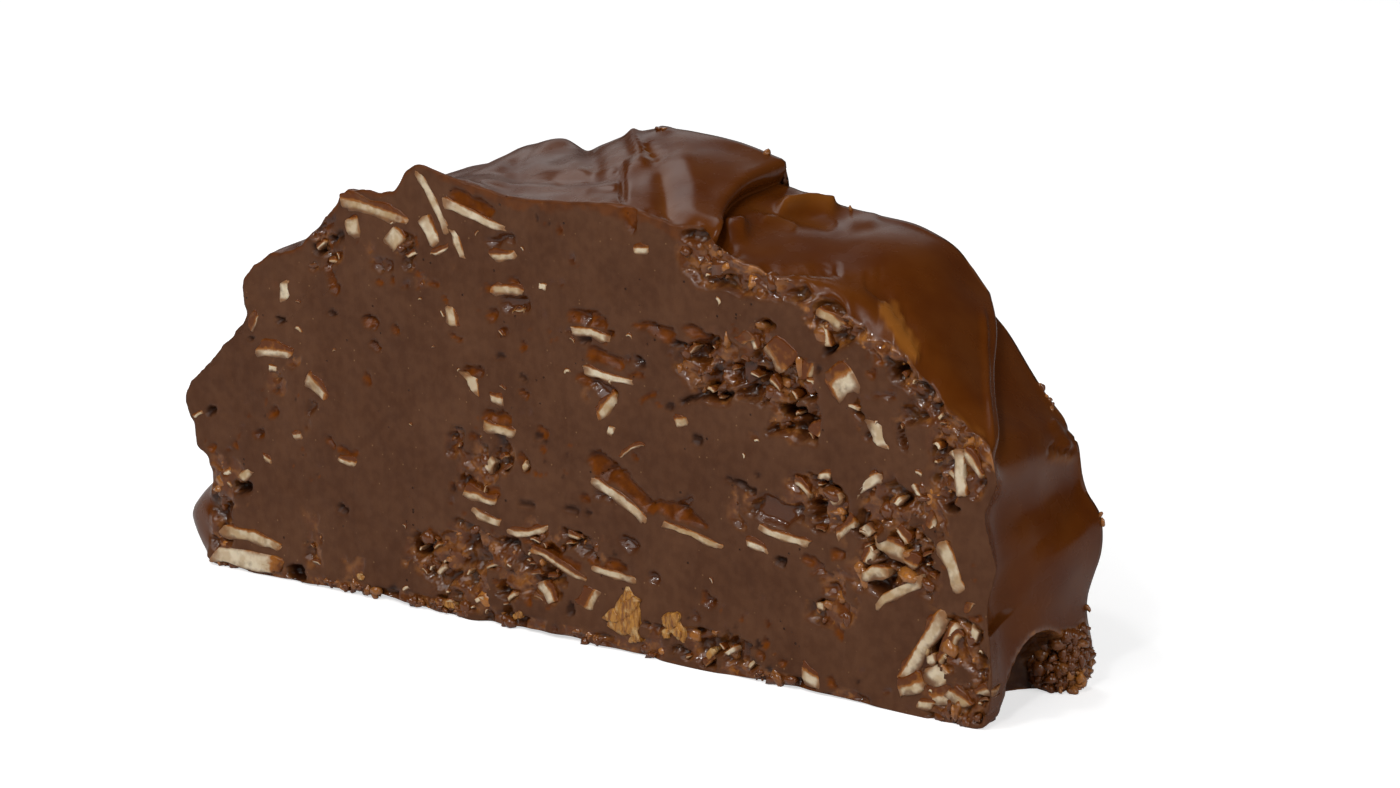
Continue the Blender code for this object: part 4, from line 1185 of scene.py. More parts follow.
    def faces(self, cells: Array) -> list[tuple[int, ...]]:
        """Lists the faces of the front grid, the rings and the coarser back, all turned outwards.

        Args:
            cells: The border's grid places, in ring order.

        Returns:
            Tuples of vertex indices.
        """
        n, m, k = self.size.along, self.size.up, self.size.inward
        count = len(cells)
        i, j = np.meshgrid(np.arange(n), np.arange(m), indexing="ij")
        grid = (i * (m + 1) + j).reshape(-1)
        front = np.stack([grid, grid + m + 1, grid + m + 2, grid + 1], axis=1)

        offset = (n + 1) * (m + 1)
        border = cells[:, 0] * (m + 1) + cells[:, 1]
        rings = np.concatenate([border[None], offset + np.arange(k * count).reshape(k, count)])
        here, there = rings[:-1], rings[1:]
        wall = np.stack([here, np.roll(here, -1, 1), np.roll(there, -1, 1), there], axis=-1).reshape(-1, 4)

        back_grid = np.full((n + 1, m + 1), -1)
        back_grid[cells[:, 0], cells[:, 1]] = rings[-1]
        inner = offset + k * count + np.arange((n // 2 - 1) * (m // 2 - 1))
        back_grid[2:n:2, 2:m:2] = inner.reshape(n // 2 - 1, m // 2 - 1)
        a, b = np.meshgrid(np.arange(0, n, 2), np.arange(0, m, 2), indexing="ij")
        around = ((0, 0), (0, 1), (0, 2), (1, 2), (2, 2), (2, 1), (2, 0), (1, 0))
        rows = np.stack([back_grid[a + da, b + db].reshape(-1) for da, db in around], axis=1)
        back = [tuple(index for index in row if index >= 0) for row in rows.tolist()]
        return front.tolist() + wall.tolist() + back


@dataclass(frozen=True)
class FlakeGrid:
    """How finely a flake is cut: points round it and rings from its middle to its back."""

    around: int = 44
    squareness: float = 4.6
    thicker: float = 1.3
    profile: tuple[Pair, ...] = (
        (0.06, -1.0), (0.35, -1.0), (0.6, -0.98), (0.8, -0.92), (0.92, -0.7), (1.0, -0.1), (1.0, 1.2),
        (0.94, 4.0), (0.7, 8.0), (0.35, 10.0), (0.06, 10.4),
    )


@dataclass(frozen=True)
class BitPlan:
    """How many bits of almond are strewn over the crumbled places and the whole face, and how large."""

    in_zones: int = 95
    over_face: int = 34
    smallest: float = 0.55
    zone_largest: float = 2.6
    face_largest: float = 1.3


def well_inside(spots: Array, border: Array, margin: float = 0.8) -> Array:
    """Tells which places lie inside a closed border, by counting how often a line to the right crosses it.

    Each place is first moved outwards by the margin, so that what stands there stays inside.

    Args:
        spots: Places as x and z.
        border: The border's points in order.
        margin: How far inside they have to lie.

    Returns:
        One truth value for each place.
    """
    away = spots - np.array((FACE_TURN / 2, 20.0))
    moved = spots + margin * away / np.maximum(np.linalg.norm(away, axis=1), 0.01)[:, None]
    x, z = moved[:, :1], moved[:, 1:]
    start, end = border, np.roll(border, -1, axis=0)
    spans = (start[:, 1] > z) != (end[:, 1] > z)
    rise = np.where(start[:, 1] == end[:, 1], 1.0, end[:, 1] - start[:, 1])
    crossing = start[:, 0] + (end[:, 0] - start[:, 0]) * (z - start[:, 1]) / rise
    return (spans & (x < crossing)).sum(axis=1) % 2 == 1


def face_height(x: Array | float) -> Array:
    """Estimates how high the cut face is, a little below its real edge."""
    return np.interp(x, (-130.0, -108.0, -92.0, -44.0, -4.0), (30.0, 54.0, 60.0, 56.0, 36.0))


def strewn_bits(plan: BitPlan, face: CutFace, border: Array, seed: int) -> tuple[Flake, ...]:
    """Draws small bits of almond: browner ones on crumbled ground, paler and smaller ones in clumps anywhere.

    Args:
        plan: How many of each, and how large.
        face: The cut face.
        border: The cut face's border.
        seed: Picks their places and sizes.

    Returns:
        The bits.
    """
    random = np.random.default_rng(seed)
    zones = np.array([(zone.x, zone.z, zone.half_width, zone.half_height, zone.rough) for zone in face.zones])
    areas = zones[:, 2] * zones[:, 3] * zones[:, 4]
    chosen = zones[random.choice(len(zones), plan.in_zones * 4, p=areas / areas.sum())]
    near = chosen[:, :2] + chosen[:, 2:4] * random.uniform(-0.9, 0.9, (len(chosen), 2))
    crumbled = (face.crumbled(near)[0] > 0.35) & (near[:, 1] > 1.2)
    near = near[crumbled & well_inside(near, border)][: plan.in_zones]
    tries = plan.over_face * 6
    loose = np.stack([random.uniform(-130.0, -4.0, tries), random.uniform(2.0, 56.0, tries)], 1)
    clumped = Grain.layered(loose, 8.0, 3, seed) > 0.1
    loose = loose[(loose[:, 1] < face_height(loose[:, 0])) & clumped][: plan.over_face]
    bits = []
    for spots, largest, brown in ((near, plan.zone_largest, 0.75), (loose, plan.face_largest, 0.6)):
        draws = random.random((len(spots), 5)).tolist()
        for (x, z), (size, slim, tilt, shade, bend) in zip(spots.tolist(), draws):
            length = plan.smallest + (largest - plan.smallest) * size**1.7
            thickness = max(0.4, length * (0.3 + 0.4 * slim))
            turn = 140.0 * tilt - 70.0
            bits.append(Flake(x, z, length, thickness, turn, brown * (0.3 + shade), 0.3 * bend))
    return tuple(bits)


@dataclass(frozen=True)
class FlakeMaker:
    """Makes many cut almond flakes as one mesh, in the front face or, turned half round, behind."""

    name: str
    grid: FlakeGrid
    face: CutFace
    seed: int
    behind: bool = False

    def surface(self, flake: Flake, number: int) -> tuple[Array, ...]:
        """One flake: a rounded rectangle with a bent middle line, swept through a profile of scale and depth.

        Round it, a = L/2 |cos|^(2/n), b = T/2 |sin|^(2/n), with noise, taper and bend added. A ring of
        scale r keeps a nearly and scales b, so the rings close on the flake's middle line.

        Args:
            flake: The flake's size and turn.
            number: Its number, for its own noise.

        Returns:
            Points in millimetres, rings by points round, how brown each is, its height in the cut, and how
            near the cut's border it is.
        """
        turn = np.linspace(0.0, 2 * math.pi, self.grid.around, endpoint=False)
        power = 2.0 / self.grid.squareness
        cosine, sine = np.cos(turn), np.sin(turn)
        noise_at = np.stack([cosine * 1.6, sine * 1.6, np.full_like(turn, number * 7.3)], axis=1)
        wobble = 1.0 + 0.28 * Grain.layered(noise_at, 0.8, 3, self.seed)
        thickness = flake.thickness * self.grid.thicker
        slant, step = Grain.hashed(np.array([[number, 3], [number, 5]]), self.seed).tolist()
        a = flake.length / 2 * np.sign(cosine) * np.abs(cosine) ** power * (1 + (wobble - 1) * 0.3)
        b = thickness / 2 * np.sign(sine) * np.abs(sine) ** power * wobble
        a = a + (slant - 0.5) * 1.3 * b
        b = b * (1 + 0.22 * np.sin(2.2 * a / thickness + 6.0 * step))
        scale, level = (column[:, None] for column in np.array(self.grid.profile).T)
        along = a * (1 - (1 - scale) * min(1.0, thickness / flake.length))
        share = along / (flake.length / 2)
        across = b * scale * (1 + flake.taper * share) + flake.bend * (1 - share**2)
        sway_at = np.stack([share * 1.8, np.full_like(share, number * 3.1)], axis=-1)
        across = across + 0.22 * min(1.0, flake.length / 6.0) * Grain.layered(sway_at, 1.0, 2, self.seed + 5)
        tilt = math.radians(flake.tilt)
        x = flake.x + along * math.cos(tilt) - across * math.sin(tilt)
        z = flake.z + along * math.sin(tilt) + across * math.cos(tilt)
        middle_x, face_x = (FACE_TURN - flake.x, FACE_TURN - x) if self.behind else (flake.x, x)
        crumb, rough = self.face.crumbled(np.array([middle_x, flake.z]))
        rest = self.face.wave(np.stack([face_x, z], axis=-1)) + 0.25 * float(crumb * rough)
        depth = rest + level * np.where(level < 0, flake.proud, flake.reach / 10.0)
        y = np.maximum(depth, FACE_FRONT + 0.02)
        height = b * scale / (thickness / 2)
        top = smooth_step((height - (0.85 - 2.0 * flake.brown_top)) / 0.65) * (flake.brown_top > 0.02)
        tip = smooth_step((share * np.sign(flake.brown_tip) - 0.55) / 0.4) * abs(flake.brown_tip)
        brown = np.clip(np.maximum(top, tip) + 0.25 * (level > 0), 0.0, 1.0)
        rim = np.where(level < 0, np.maximum(np.abs(height), np.abs(share)) ** 2, 1.0)
        points = np.stack([x, y, np.maximum(z, 0.25)], axis=-1)
        return points, brown, np.clip(0.5 + 0.5 * height, 0.0, 1.0), rim

    def build(self, flakes: tuple[Flake, ...]) -> bpy.types.Object:
        """Joins all the flakes into one object.

        Args:
            flakes: The flakes to make.

        Returns:
            The object.
        """
        surfaces = [self.surface(flake, number) for number, flake in enumerate(flakes)]
        points, brown, height, rim = (np.stack(column) for column in zip(*surfaces))
        if self.behind:
            points = points * np.array((-1.0, -1.0, 1.0)) + np.array((FACE_TURN, SLICE_DEPTH, 0.0))
        flake_count, rings, around = points.shape[:3]
        tone = np.broadcast_to((np.arange(flake_count) * 0.618 % 1.0)[:, None, None], brown.shape)
        index = np.arange(rings * around).reshape(rings, around)
        here, there = index[:-1], index[1:]
        wall = np.stack([np.roll(here, -1, 1), here, there, np.roll(there, -1, 1)], axis=-1).reshape(-1, 4)
        faces = []
        for first in range(0, points.size // 3, rings * around):
            faces += (wall + first).tolist()
            faces += [(index[0] + first).tolist(), (index[-1][::-1] + first).tolist()]
        marks = {"brown": brown, "tone": tone, "height": height, "rim": rim}
        return MeshTools.build(self.name, to_frame(points), faces, marks)


@dataclass(frozen=True)
class CrumbPlan:
    """How many crumbs are strewn over the crumbled zones, the foot and the base, and how large they are."""

    per_mm2: float = 0.17
    smallest: float = 0.22
    largest: float = 1.5
    foot_count: int = 520
    foot_largest: float = 1.0
    base_count: int = 220
    facets: int = 9
    around: int = 8
    rings: int = 6


SKIN_CRUMBS = (
    (8.6, 48.6), (9.0, 48.0), (9.5, 47.2), (9.4, 46.2), (10.1, 45.6), (9.8, 44.9), (18.0, 32.4), (18.2, 31.5),
    (17.9, 30.8), (-52.9, 74.0), (-52.2, 74.1), (-35.2, 73.2), (-21.9, 66.9), (16.6, 19.6),
)


@dataclass(frozen=True)
class Crumbs:
    """Small faceted lumps on the crumbled zones, the foot and a few places of the skin, as one mesh."""

    plan: CrumbPlan
    body: FudgeBody

    def zone_spots(self, random: np.random.Generator) -> tuple[Array, Array]:
        """Draws places evenly over each zone and keeps those on crumbled ground.

        Args:
            random: The seeded generator.

        Returns:
            The crumbs' middles and radii.
        """
        places = []
        for zone in ZONES:
            area = math.pi * zone.half_width * zone.half_height
            count = int(area * self.plan.per_mm2 * zone.rough)
            reach = np.sqrt(random.random(count)) * 0.95
            turn = random.random(count) * 2 * math.pi
            x = zone.x + zone.half_width * reach * np.cos(turn)
            places.append(np.stack([x, zone.z + zone.half_height * reach * np.sin(turn)], axis=1))
        spots = np.concatenate(places)
        relief = self.body.front.relief(spots)
        crumbled = (relief.crumb > 0.6) & (spots[:, 1] > 0.9) & (relief.painted_shade < 0.3)
        keep = crumbled & well_inside(spots, self.body.border)
        spots, sunk = spots[keep], relief.sunk[keep]
        radius = self.radii(random.random(len(spots)) ** 2.6, self.plan.largest)
        return np.stack([spots[:, 0], sunk + 0.35 * radius, spots[:, 1]], axis=1), radius

    def radii(self, share: Array, largest: float) -> Array:
        """Radii between the smallest and the largest, by a share from 0 to 1."""
        return self.plan.smallest + (largest - self.plan.smallest) * share

    def foot_spots(self, random: np.random.Generator) -> tuple[Array, Array]:
        """Heaps crumbs into the foot that is left at the back of the undercut, denser towards its border.

        Args:
            random: The seeded generator.

        Returns:
            The crumbs' middles and radii.
        """
        ways = random.normal(size=(self.plan.foot_count, 3))
        ways /= np.linalg.norm(ways, axis=1)[:, None]
        reach = random.random(self.plan.foot_count) ** 0.22
        middles = np.array(FOOT_CENTRE) + np.array(FOOT_RADII) * ways * reach[:, None]
        leg = self.body.wall
        leg = leg[(leg[:, 1] > 19.0) & (leg[:, 2] > 0.5) & (leg[:, 2] < 10.5)]
        leg = random.choice(leg[FudgeBody.foot(leg) > 0.7], self.plan.foot_count // 2)
        middles = np.concatenate([middles, leg + random.normal(0.0, 0.2, leg.shape)])
        middles = middles[(middles[:, 2] > 0.4) & (middles[:, 1] < SLICE_DEPTH - 0.6)]
        return middles, self.radii(random.random(len(middles)) ** 1.6, self.plan.foot_largest)

    def base_spots(self, random: np.random.Generator) -> tuple[Array, Array]:
        """Strews crumbs along the cut face's lower edge and up its left end, in clumps.

        Args:
            random: The seeded generator.

        Returns:
            The crumbs' middles and radii.
        """
        count = self.plan.base_count * 4
        along = random.uniform(-134.5, -1.0, count)
        spots = np.stack([along, random.uniform(0.35, 1.5, count)], axis=1)
        left = np.array(LEFT_SIDE[1:9])
        side = random.choice(len(left) - 1, count // 5)
        between = random.random((count // 5, 1))
        spots = np.concatenate([spots, left[side] * between + left[side + 1] * (1 - between)])
        spots = spots[Grain.layered(spots, 5.0, 3, 170) > 0.3][: self.plan.base_count]
        radius = 0.2 + 0.75 * random.random(len(spots)) ** 3.0
        return np.stack([spots[:, 0], 0.15 + 0.3 * radius, spots[:, 1]], axis=1), radius

    def skin_spots(self) -> tuple[Array, Array]:
        """Finds the wall point that the photograph shows at each of SKIN_CRUMBS.

        Returns:
            The crumbs' middles and radii.
        """
        seen = Skin.seen(self.body.wall)
        nearest = [np.argmin(np.linalg.norm(seen - np.array(spot), axis=1)) for spot in SKIN_CRUMBS]
        return self.body.wall[nearest], np.linspace(0.35, 0.6, len(nearest))

    def ball(self) -> tuple[Array, list[Array]]:
        """A crumb's starting form: a ball of radius 1, rings between two poles.

        Returns:
            Its points, and its faces as an array of quads and two of triangles.
        """
        around, rows = self.plan.around, self.plan.rings - 1
        turn = np.linspace(0.0, 2 * math.pi, around, endpoint=False)
        rise = np.linspace(0.0, math.pi, rows + 2)[1:-1, None]
        sides = (np.sin(rise) * np.cos(turn), np.sin(rise) * np.sin(turn), np.cos(rise) + 0 * turn)
        poles = [[0.0, 0.0, 1.0], [0.0, 0.0, -1.0]]
        points = np.concatenate([np.stack(sides, axis=-1).reshape(-1, 3), poles])
        index = np.arange(rows * around).reshape(rows, around)
        here, there = index[:-1], index[1:]
        wall = np.stack([here, there, np.roll(there, -1, 1), np.roll(here, -1, 1)], axis=-1).reshape(-1, 4)
        north, south = np.full(around, rows * around), np.full(around, rows * around + 1)
        top = np.stack([north, index[0], np.roll(index[0], -1)], axis=1)
        return points, [wall, top, np.stack([south, np.roll(index[-1], -1), index[-1]], axis=1)]

    def build(self) -> bpy.types.Object:
        """Makes every crumb: along a direction d its radius is the least h / (n . d) of its facets' planes.

        Returns:
            The crumbs' object.
        """
        random = np.random.default_rng(7)
        drawn = [self.zone_spots(random), self.foot_spots(random), self.base_spots(random), self.skin_spots()]
        middles = np.concatenate([middle for middle, _ in drawn])
        radius = np.concatenate([size for _, size in drawn])
        count = len(middles)
        unit, ball_faces = self.ball()
        normals = random.normal(size=(count, self.plan.facets, 3))
        normals /= np.linalg.norm(normals, axis=-1)[..., None]
        heights = random.uniform(0.45, 0.95, (count, self.plan.facets))
        facing = np.maximum(np.einsum("vc,nfc->nvf", unit, normals), 0.05)
        reach = np.minimum((heights[:, None] / facing).min(axis=-1), 1.35)
        lumpy = 1.0 + 0.16 * Grain.smooth(unit[None] * 2.0 + random.random((count, 1, 3)) * 400.0, 0.8, 77)
        squash = 0.6 + 0.8 * random.random((count, 1, 3))
        points = middles[:, None] + unit[None] * (reach * lumpy)[..., None] * squash * radius[:, None, None]
        points[..., 1] = np.clip(points[..., 1], FACE_FRONT + 0.02, BACK_LIMIT)
        points[..., 2] = np.maximum(points[..., 2], 0.05)
        for axis, way, limit in BOX_LIMITS:
            points[..., axis] = way * np.minimum(points[..., axis] * way, limit)
        shift = (np.arange(count) * len(unit))[:, None, None]
        faces = [face for part in ball_faces for face in (part + shift).reshape(-1, part.shape[1]).tolist()]
        tones = random.random(count)
        kinds = np.repeat(np.arange(len(drawn)), [len(middle) for middle, _ in drawn])
        # Foot crumbs further in under the undercut get a lower tone, which is painted shade; base crumbs keep
        # 0.7 of their tone.
        from_middle = (middles - np.array(FOOT_CENTRE)) / np.array(FOOT_RADII)
        outer = smooth_step(from_middle[:, 0] - from_middle[:, 2] - 0.3)
        tone_and_undercut_shade = np.choose(kinds, (1.0, 0.45 + 0.5 * outer, 0.7, 1.0))
        tone = np.broadcast_to((tones * tone_and_undercut_shade)[:, None], points.shape[:2])
        return MeshTools.build("crumbs", to_frame(points), faces, {"tone": tone})


@dataclass(frozen=True)
class FudgeFinish:
    """Colours and gloss of the fudge, linear."""

    cut_dark: Triple = (0.078, 0.026, 0.0092)
    cut_light: Triple = (0.126, 0.050, 0.0215)
    # Painted shade colour for the small dots of the pores.
    shaded_pore: Triple = (0.035, 0.010, 0.003)
    speck: Triple = (0.34, 0.18, 0.08)
    imprint: Triple = (0.165, 0.040, 0.002)
    imprint_dark: Triple = (0.090, 0.020, 0.001)
    crumb: Triple = (0.140, 0.038, 0.006)
    crumb_light: Triple = (0.34, 0.125, 0.028)
    amber: Triple = (0.47, 0.17, 0.025)
    skin: Triple = (0.093, 0.020, 0.001)
    skin_light: Triple = (0.118, 0.030, 0.003)
    # Painted shade colour, laid into holes, deep crevices, the tops of imprints and the undercut.
    hole: Triple = (0.030, 0.008, 0.002)
    cut_gloss: float = 0.40
    skin_gloss: float = 0.21
    skin_dull: float = 0.34
    wet_gloss: float = 0.3
    crumb_gloss: float = 0.2
    ior: float = 1.27
    coat_gloss: float = 0.05


@dataclass(frozen=True)
class AlmondFinish:
    """Colours of a cut almond, linear."""

    cream: Triple = (0.78, 0.66, 0.48)
    tan: Triple = (0.26, 0.105, 0.030)
    shade: Triple = (0.44, 0.27, 0.115)
    orange: Triple = (0.34, 0.115, 0.014)
    brown: Triple = (0.13, 0.032, 0.004)
    smear: Triple = (0.16, 0.070, 0.030)
    gloss: float = 0.42
    brown_gloss: float = 0.22
    ior: float = 1.35


@dataclass(frozen=True)
class WaferFinish:
    """Colours of the golden flaky bits, linear."""

    gold: Triple = (0.50, 0.22, 0.035)
    toast: Triple = (0.24, 0.08, 0.010)
    # Painted highlight: a pale colour laid over the gold in random patches.
    painted_highlight: Triple = (0.62, 0.40, 0.17)
    gloss: float = 0.28


class Shader:
    """A small helper that adds nodes to one material."""

    def __init__(self, name: str) -> None:
        """Starts a material with its Principled shader.

        Args:
            name: The material's name.
        """
        self.material = bpy.data.materials.new(name)
        self.material.use_nodes = True
        self.tree = self.material.node_tree
        self.main = self.tree.nodes["Principled BSDF"]
        self.place = self.tree.nodes.new("ShaderNodeTexCoord").outputs["Object"]

    def node(self, kind: str, **values: object) -> bpy.types.Node:
        """Adds a node and sets its properties and inputs.

        Args:
            kind: The node's type name, without the words that all of them start with.
            values: Properties by name, or inputs as in_NAME with _ for a space.

        Returns:
            The node.
        """
        node = self.tree.nodes.new("ShaderNode" + kind)
        for key, value in values.items():
            if key.startswith("in_"):
                self.feed(node.inputs[key[3:].replace("_", " ")], value)
            else:
                setattr(node, key, value)
        return node

    def feed(self, socket: Socket, value: object) -> None:
        """Links a socket or sets it to a number or colour.

        Args:
            socket: The input to fill.
            value: Another socket, a number or a tuple.
        """
        if isinstance(value, bpy.types.NodeSocket):
            self.tree.links.new(value, socket)
        elif isinstance(value, tuple) and len(value) == 3 and socket.type == "RGBA":
            socket.default_value = (*value, 1.0)
        else:
            socket.default_value = value

    def finished(self, **inputs: object) -> bpy.types.Material:
        """Fills inputs of the Principled shader, named with _ for a space.

        Args:
            inputs: Sockets, numbers or colours by input name.

        Returns:
            The material.
        """
        for name, value in inputs.items():
            self.feed(self.main.inputs[name.replace("_", " ")], value)
        return self.material

    def mark(self, name: str) -> Socket:
        """Reads one of the mesh's float attributes."""
        return self.node("Attribute", attribute_name=name).outputs["Fac"]

    def math(self, kind: str, first: object, second: object) -> Socket:
        """Does one step of arithmetic.

        Args:
            kind: MULTIPLY, ADD, MAXIMUM and the like.
            first: The first value.
            second: The second value.

        Returns:
            The result.
        """
        node = self.node("Math", operation=kind)
        self.feed(node.inputs[0], first)
        self.feed(node.inputs[1], second)
        return node.outputs[0]

    def times(self, first: object, second: object) -> Socket:
        """Multiplies two values."""
        return self.math("MULTIPLY", first, second)

    def plus(self, first: object, second: object) -> Socket:
        """Adds two values."""
        return self.math("ADD", first, second)

    def less(self, first: object, second: object) -> Socket:
        """Takes the second value from the first."""
        return self.math("SUBTRACT", first, second)

    def most(self, first: object, second: object) -> Socket:
        """Gives the larger of two values."""
        return self.math("MAXIMUM", first, second)

    def ease(
        self, value: object, low: float, high: float, out_low: float = 0.0, out_high: float = 1.0
    ) -> Socket:
        """Maps a range onto another, eased at both ends.

        Args:
            value: What is mapped.
            low: Where the range starts.
            high: Where the range ends.
            out_low: What the start becomes.
            out_high: What the end becomes.

        Returns:
            The mapped value.
        """
        node = self.node("MapRange", interpolation_type="SMOOTHSTEP")
        names = ("Value", "From Min", "From Max", "To Min", "To Max")
        for name, setting in zip(names, (value, low, high, out_low, out_high)):
            self.feed(node.inputs[name], setting)
        return node.outputs["Result"]

    def mix(self, share: object, first: object, second: object) -> Socket:
        """Mixes two colours.

        Args:
            share: How much of the second there is.
            first: The first colour.
            second: The second colour.

        Returns:
            The mixed colour.
        """
        node = self.node("Mix", data_type="RGBA")
        for number, value in ((0, share), (6, first), (7, second)):
            self.feed(node.inputs[number], value)
        return node.outputs[2]

    def blend(self, share: object, first: object, second: object) -> Socket:
        """Mixes two numbers.

        Args:
            share: How much of the second there is.
            first: The first number.
            second: The second number.

        Returns:
            The mixed number.
        """
        node = self.node("Mix", data_type="FLOAT")
        for number, value in ((0, share), (2, first), (3, second)):
            self.feed(node.inputs[number], value)
        return node.outputs[0]

    def noise(self, size_mm: float, detail: float = 3.0, stretch: Triple = (1.0, 1.0, 1.0)) -> Socket:
        """Noise with lumps of a size.

        Args:
            size_mm: The width of a lump.
            detail: How many finer layers are added.
            stretch: How much longer the lumps are along each axis.

        Returns:
            Values from 0 to 1.
        """
        scale = tuple(1.0 / (size_mm * MM * longer) for longer in stretch)
        place = self.node("Mapping", in_Vector=self.place, in_Scale=scale).outputs[0]
        return self.node("TexNoise", in_Vector=place, in_Scale=1.0, in_Detail=detail).outputs["Fac"]

    def dots(self, spacing_mm: float) -> tuple[Socket, Socket]:
        """Scattered points: the distance to the nearest one, and a random value for it.

        Args:
            spacing_mm: How far apart the points are.

        Returns:
            The distance in spacings, and the random value.
        """
        texture = self.node("TexVoronoi", in_Vector=self.place, in_Scale=1.0 / (spacing_mm * MM))
        split = self.node("SeparateColor", in_Color=texture.outputs["Color"])
        return texture.outputs["Distance"], split.outputs[0]

    def bump(
        self, height: object, distance_mm: float, strength: object = 1.0, under: Socket | None = None
    ) -> Socket:
        """Adds a layer of bump.

        Args:
            height: The height, from 0 to 1.
            distance_mm: What a height of 1 stands for.
            strength: How strong the layer is.
            under: The normal of the layer below.

        Returns:
            The bumped normal.
        """
        node = self.node("Bump", in_Height=height, in_Distance=distance_mm * MM, in_Strength=strength)
        if under is not None:
            self.feed(node.inputs["Normal"], under)
        return node.outputs[0]


class Materials:
    """Makes the finishes."""

    @staticmethod
    def fudge(finish: FudgeFinish) -> bpy.types.Material:
        """The fudge: a satin cut face with streaks and pores, wet-looking hollows and a glossy skin, with
        painted shade in its pores, holes, crevices and undercut.

        Args:
            finish: Colours and gloss.

        Returns:
            The material.
        """
        s = Shader("fudge_cut_and_skin")
        marks = ("imprint", "crumb", "painted_shade", "shiny", "skin", "amber")
        imprint, crumb, painted_shade, shiny, skin, amber = (s.mark(name) for name in marks)
        patches = s.ease(s.noise(11.0, 4.0), 0.3, 0.7)
        mottle = s.ease(s.noise(1.5, 5.0), 0.32, 0.68)
        streaks = s.ease(s.noise(0.6, 3.0, (1.0, 1.0, 9.0)), 0.3, 0.7)
        tone = s.plus(s.plus(s.times(patches, 0.5), s.times(mottle, 0.42)), s.times(streaks, 0.08))
        cut = s.mix(tone, finish.cut_dark, finish.cut_light)

        distance, chance = s.dots(0.62)
        clumps = s.ease(s.noise(6.0, 3.0), 0.52, 0.66)
        rare = s.ease(s.plus(chance, s.times(clumps, 0.16)), 1.02, 1.06)
        # Pores: small dents in the bump, with painted shade as a dark colour in them.
        shaded_pore = s.times(s.ease(distance, 0.34, 0.14), rare)
        speck = s.times(s.ease(distance, 0.28, 0.1), s.ease(chance, 0.06, 0.03))
        cut = s.mix(s.times(shaded_pore, 0.8), cut, finish.shaded_pore)
        cut = s.mix(s.times(speck, 0.5), cut, finish.speck)

        crumbs = s.mix(s.ease(s.noise(1.7, 2.0), 0.42, 0.70), finish.crumb, finish.crumb_light)
        bits = s.times(s.ease(s.noise(1.3, 2.0), 0.62, 0.70), 0.7)
        crumbs = s.mix(bits, crumbs, finish.amber)
        colour = s.mix(s.times(crumb, 0.9), cut, crumbs)
        wet = s.mix(s.ease(s.noise(1.8, 2.0), 0.35, 0.7), finish.imprint, finish.imprint_dark)
        colour = s.mix(imprint, colour, wet)
        colour = s.mix(s.times(shiny, 0.75), colour, finish.imprint_dark)
        skin_tone = s.mix(s.ease(s.noise(8.0, 3.0), 0.3, 0.7), finish.skin, finish.skin_light)
        skin_tone = s.mix(s.times(amber, 0.42), skin_tone, finish.amber)
        # Painted shade: holes, deep crevices, imprint tops and the undercut take the dark colour.
        colour = s.mix(s.times(painted_shade, 0.85), s.mix(skin, colour, skin_tone), finish.hole)

        rough = s.blend(s.noise(2.2, 3.0), finish.cut_gloss - 0.08, finish.cut_gloss + 0.12)
        skin_rough = s.blend(s.ease(s.noise(5.0, 4.0), 0.35, 0.7), finish.skin_gloss, finish.skin_dull)
        wetness = s.most(s.most(imprint, shiny), s.times(crumb, 0.85))
        rough = s.blend(wetness, s.blend(skin, rough, skin_rough), finish.wet_gloss)

        on_cut = s.less(1.0, skin)
        normal = s.bump(s.noise(0.2, 2.0), 0.03, s.blend(skin, 0.45, 0.08))
        normal = s.bump(streaks, 0.03, s.times(s.less(on_cut, painted_shade), 0.25), normal)
        normal = s.bump(s.less(1.0, shaded_pore), 0.25, on_cut, normal)
        broken = s.most(crumb, s.times(shiny, 0.3))
        normal = s.bump(s.noise(1.25, 1.0), 0.5, s.times(broken, 0.8), normal)
        return s.finished(
            Base_Color=colour, Roughness=rough, Normal=normal, IOR=finish.ior,
            Coat_Weight=s.times(s.most(crumb, shiny), 0.6), Coat_Roughness=finish.coat_gloss,
        )

    @staticmethod
    def almond(finish: AlmondFinish) -> bpy.types.Material:
        """Cut almond: cream with fine fibres, browner towards the nut's skin, smeared with fudge below.

        Args:
            finish: Colours and gloss.

        Returns:
            The material.
        """
        s = Shader("cut_almond")
        brown, tone, height, rim = (s.mark(name) for name in ("brown", "tone", "height", "rim"))
        cloud = s.ease(s.noise(1.7, 3.0), 0.38, 0.66)
        cream = s.mix(s.times(s.plus(cloud, tone), 0.48), finish.cream, finish.shade)
        ragged = s.plus(brown, s.times(s.less(s.noise(0.8, 4.0), 0.5), 0.9))
        warm = s.mix(s.ease(ragged, 0.10, 0.55), cream, finish.orange)
        colour = s.mix(s.ease(ragged, 0.55, 1.0), warm, finish.brown)
        uneven = s.less(s.noise(1.5, 3.0), 0.5)
        smeared = s.ease(s.plus(height, s.times(uneven, 1.1)), 0.36, -0.06, 0.0, 0.85)
        border = s.ease(s.plus(rim, s.times(uneven, 0.8)), 0.30, 0.95)
        colour = s.mix(s.times(border, s.ease(brown, 0.5, 0.1, 0.0, 0.9)), colour, finish.tan)
        film = s.times(s.ease(s.noise(2.6, 3.0), 0.54, 0.70), 0.5)
        colour = s.mix(s.most(smeared, film), colour, finish.smear)
        return s.finished(
            Base_Color=colour, Roughness=s.blend(brown, finish.gloss, finish.brown_gloss), IOR=finish.ior,
            Subsurface_Weight=0.2, Subsurface_Radius=(1.0, 0.6, 0.35), Subsurface_Scale=0.7 * MM,
            Normal=s.bump(s.noise(0.7, 2.0, (2.0, 1.0, 1.0)), 0.06, 0.6),
        )

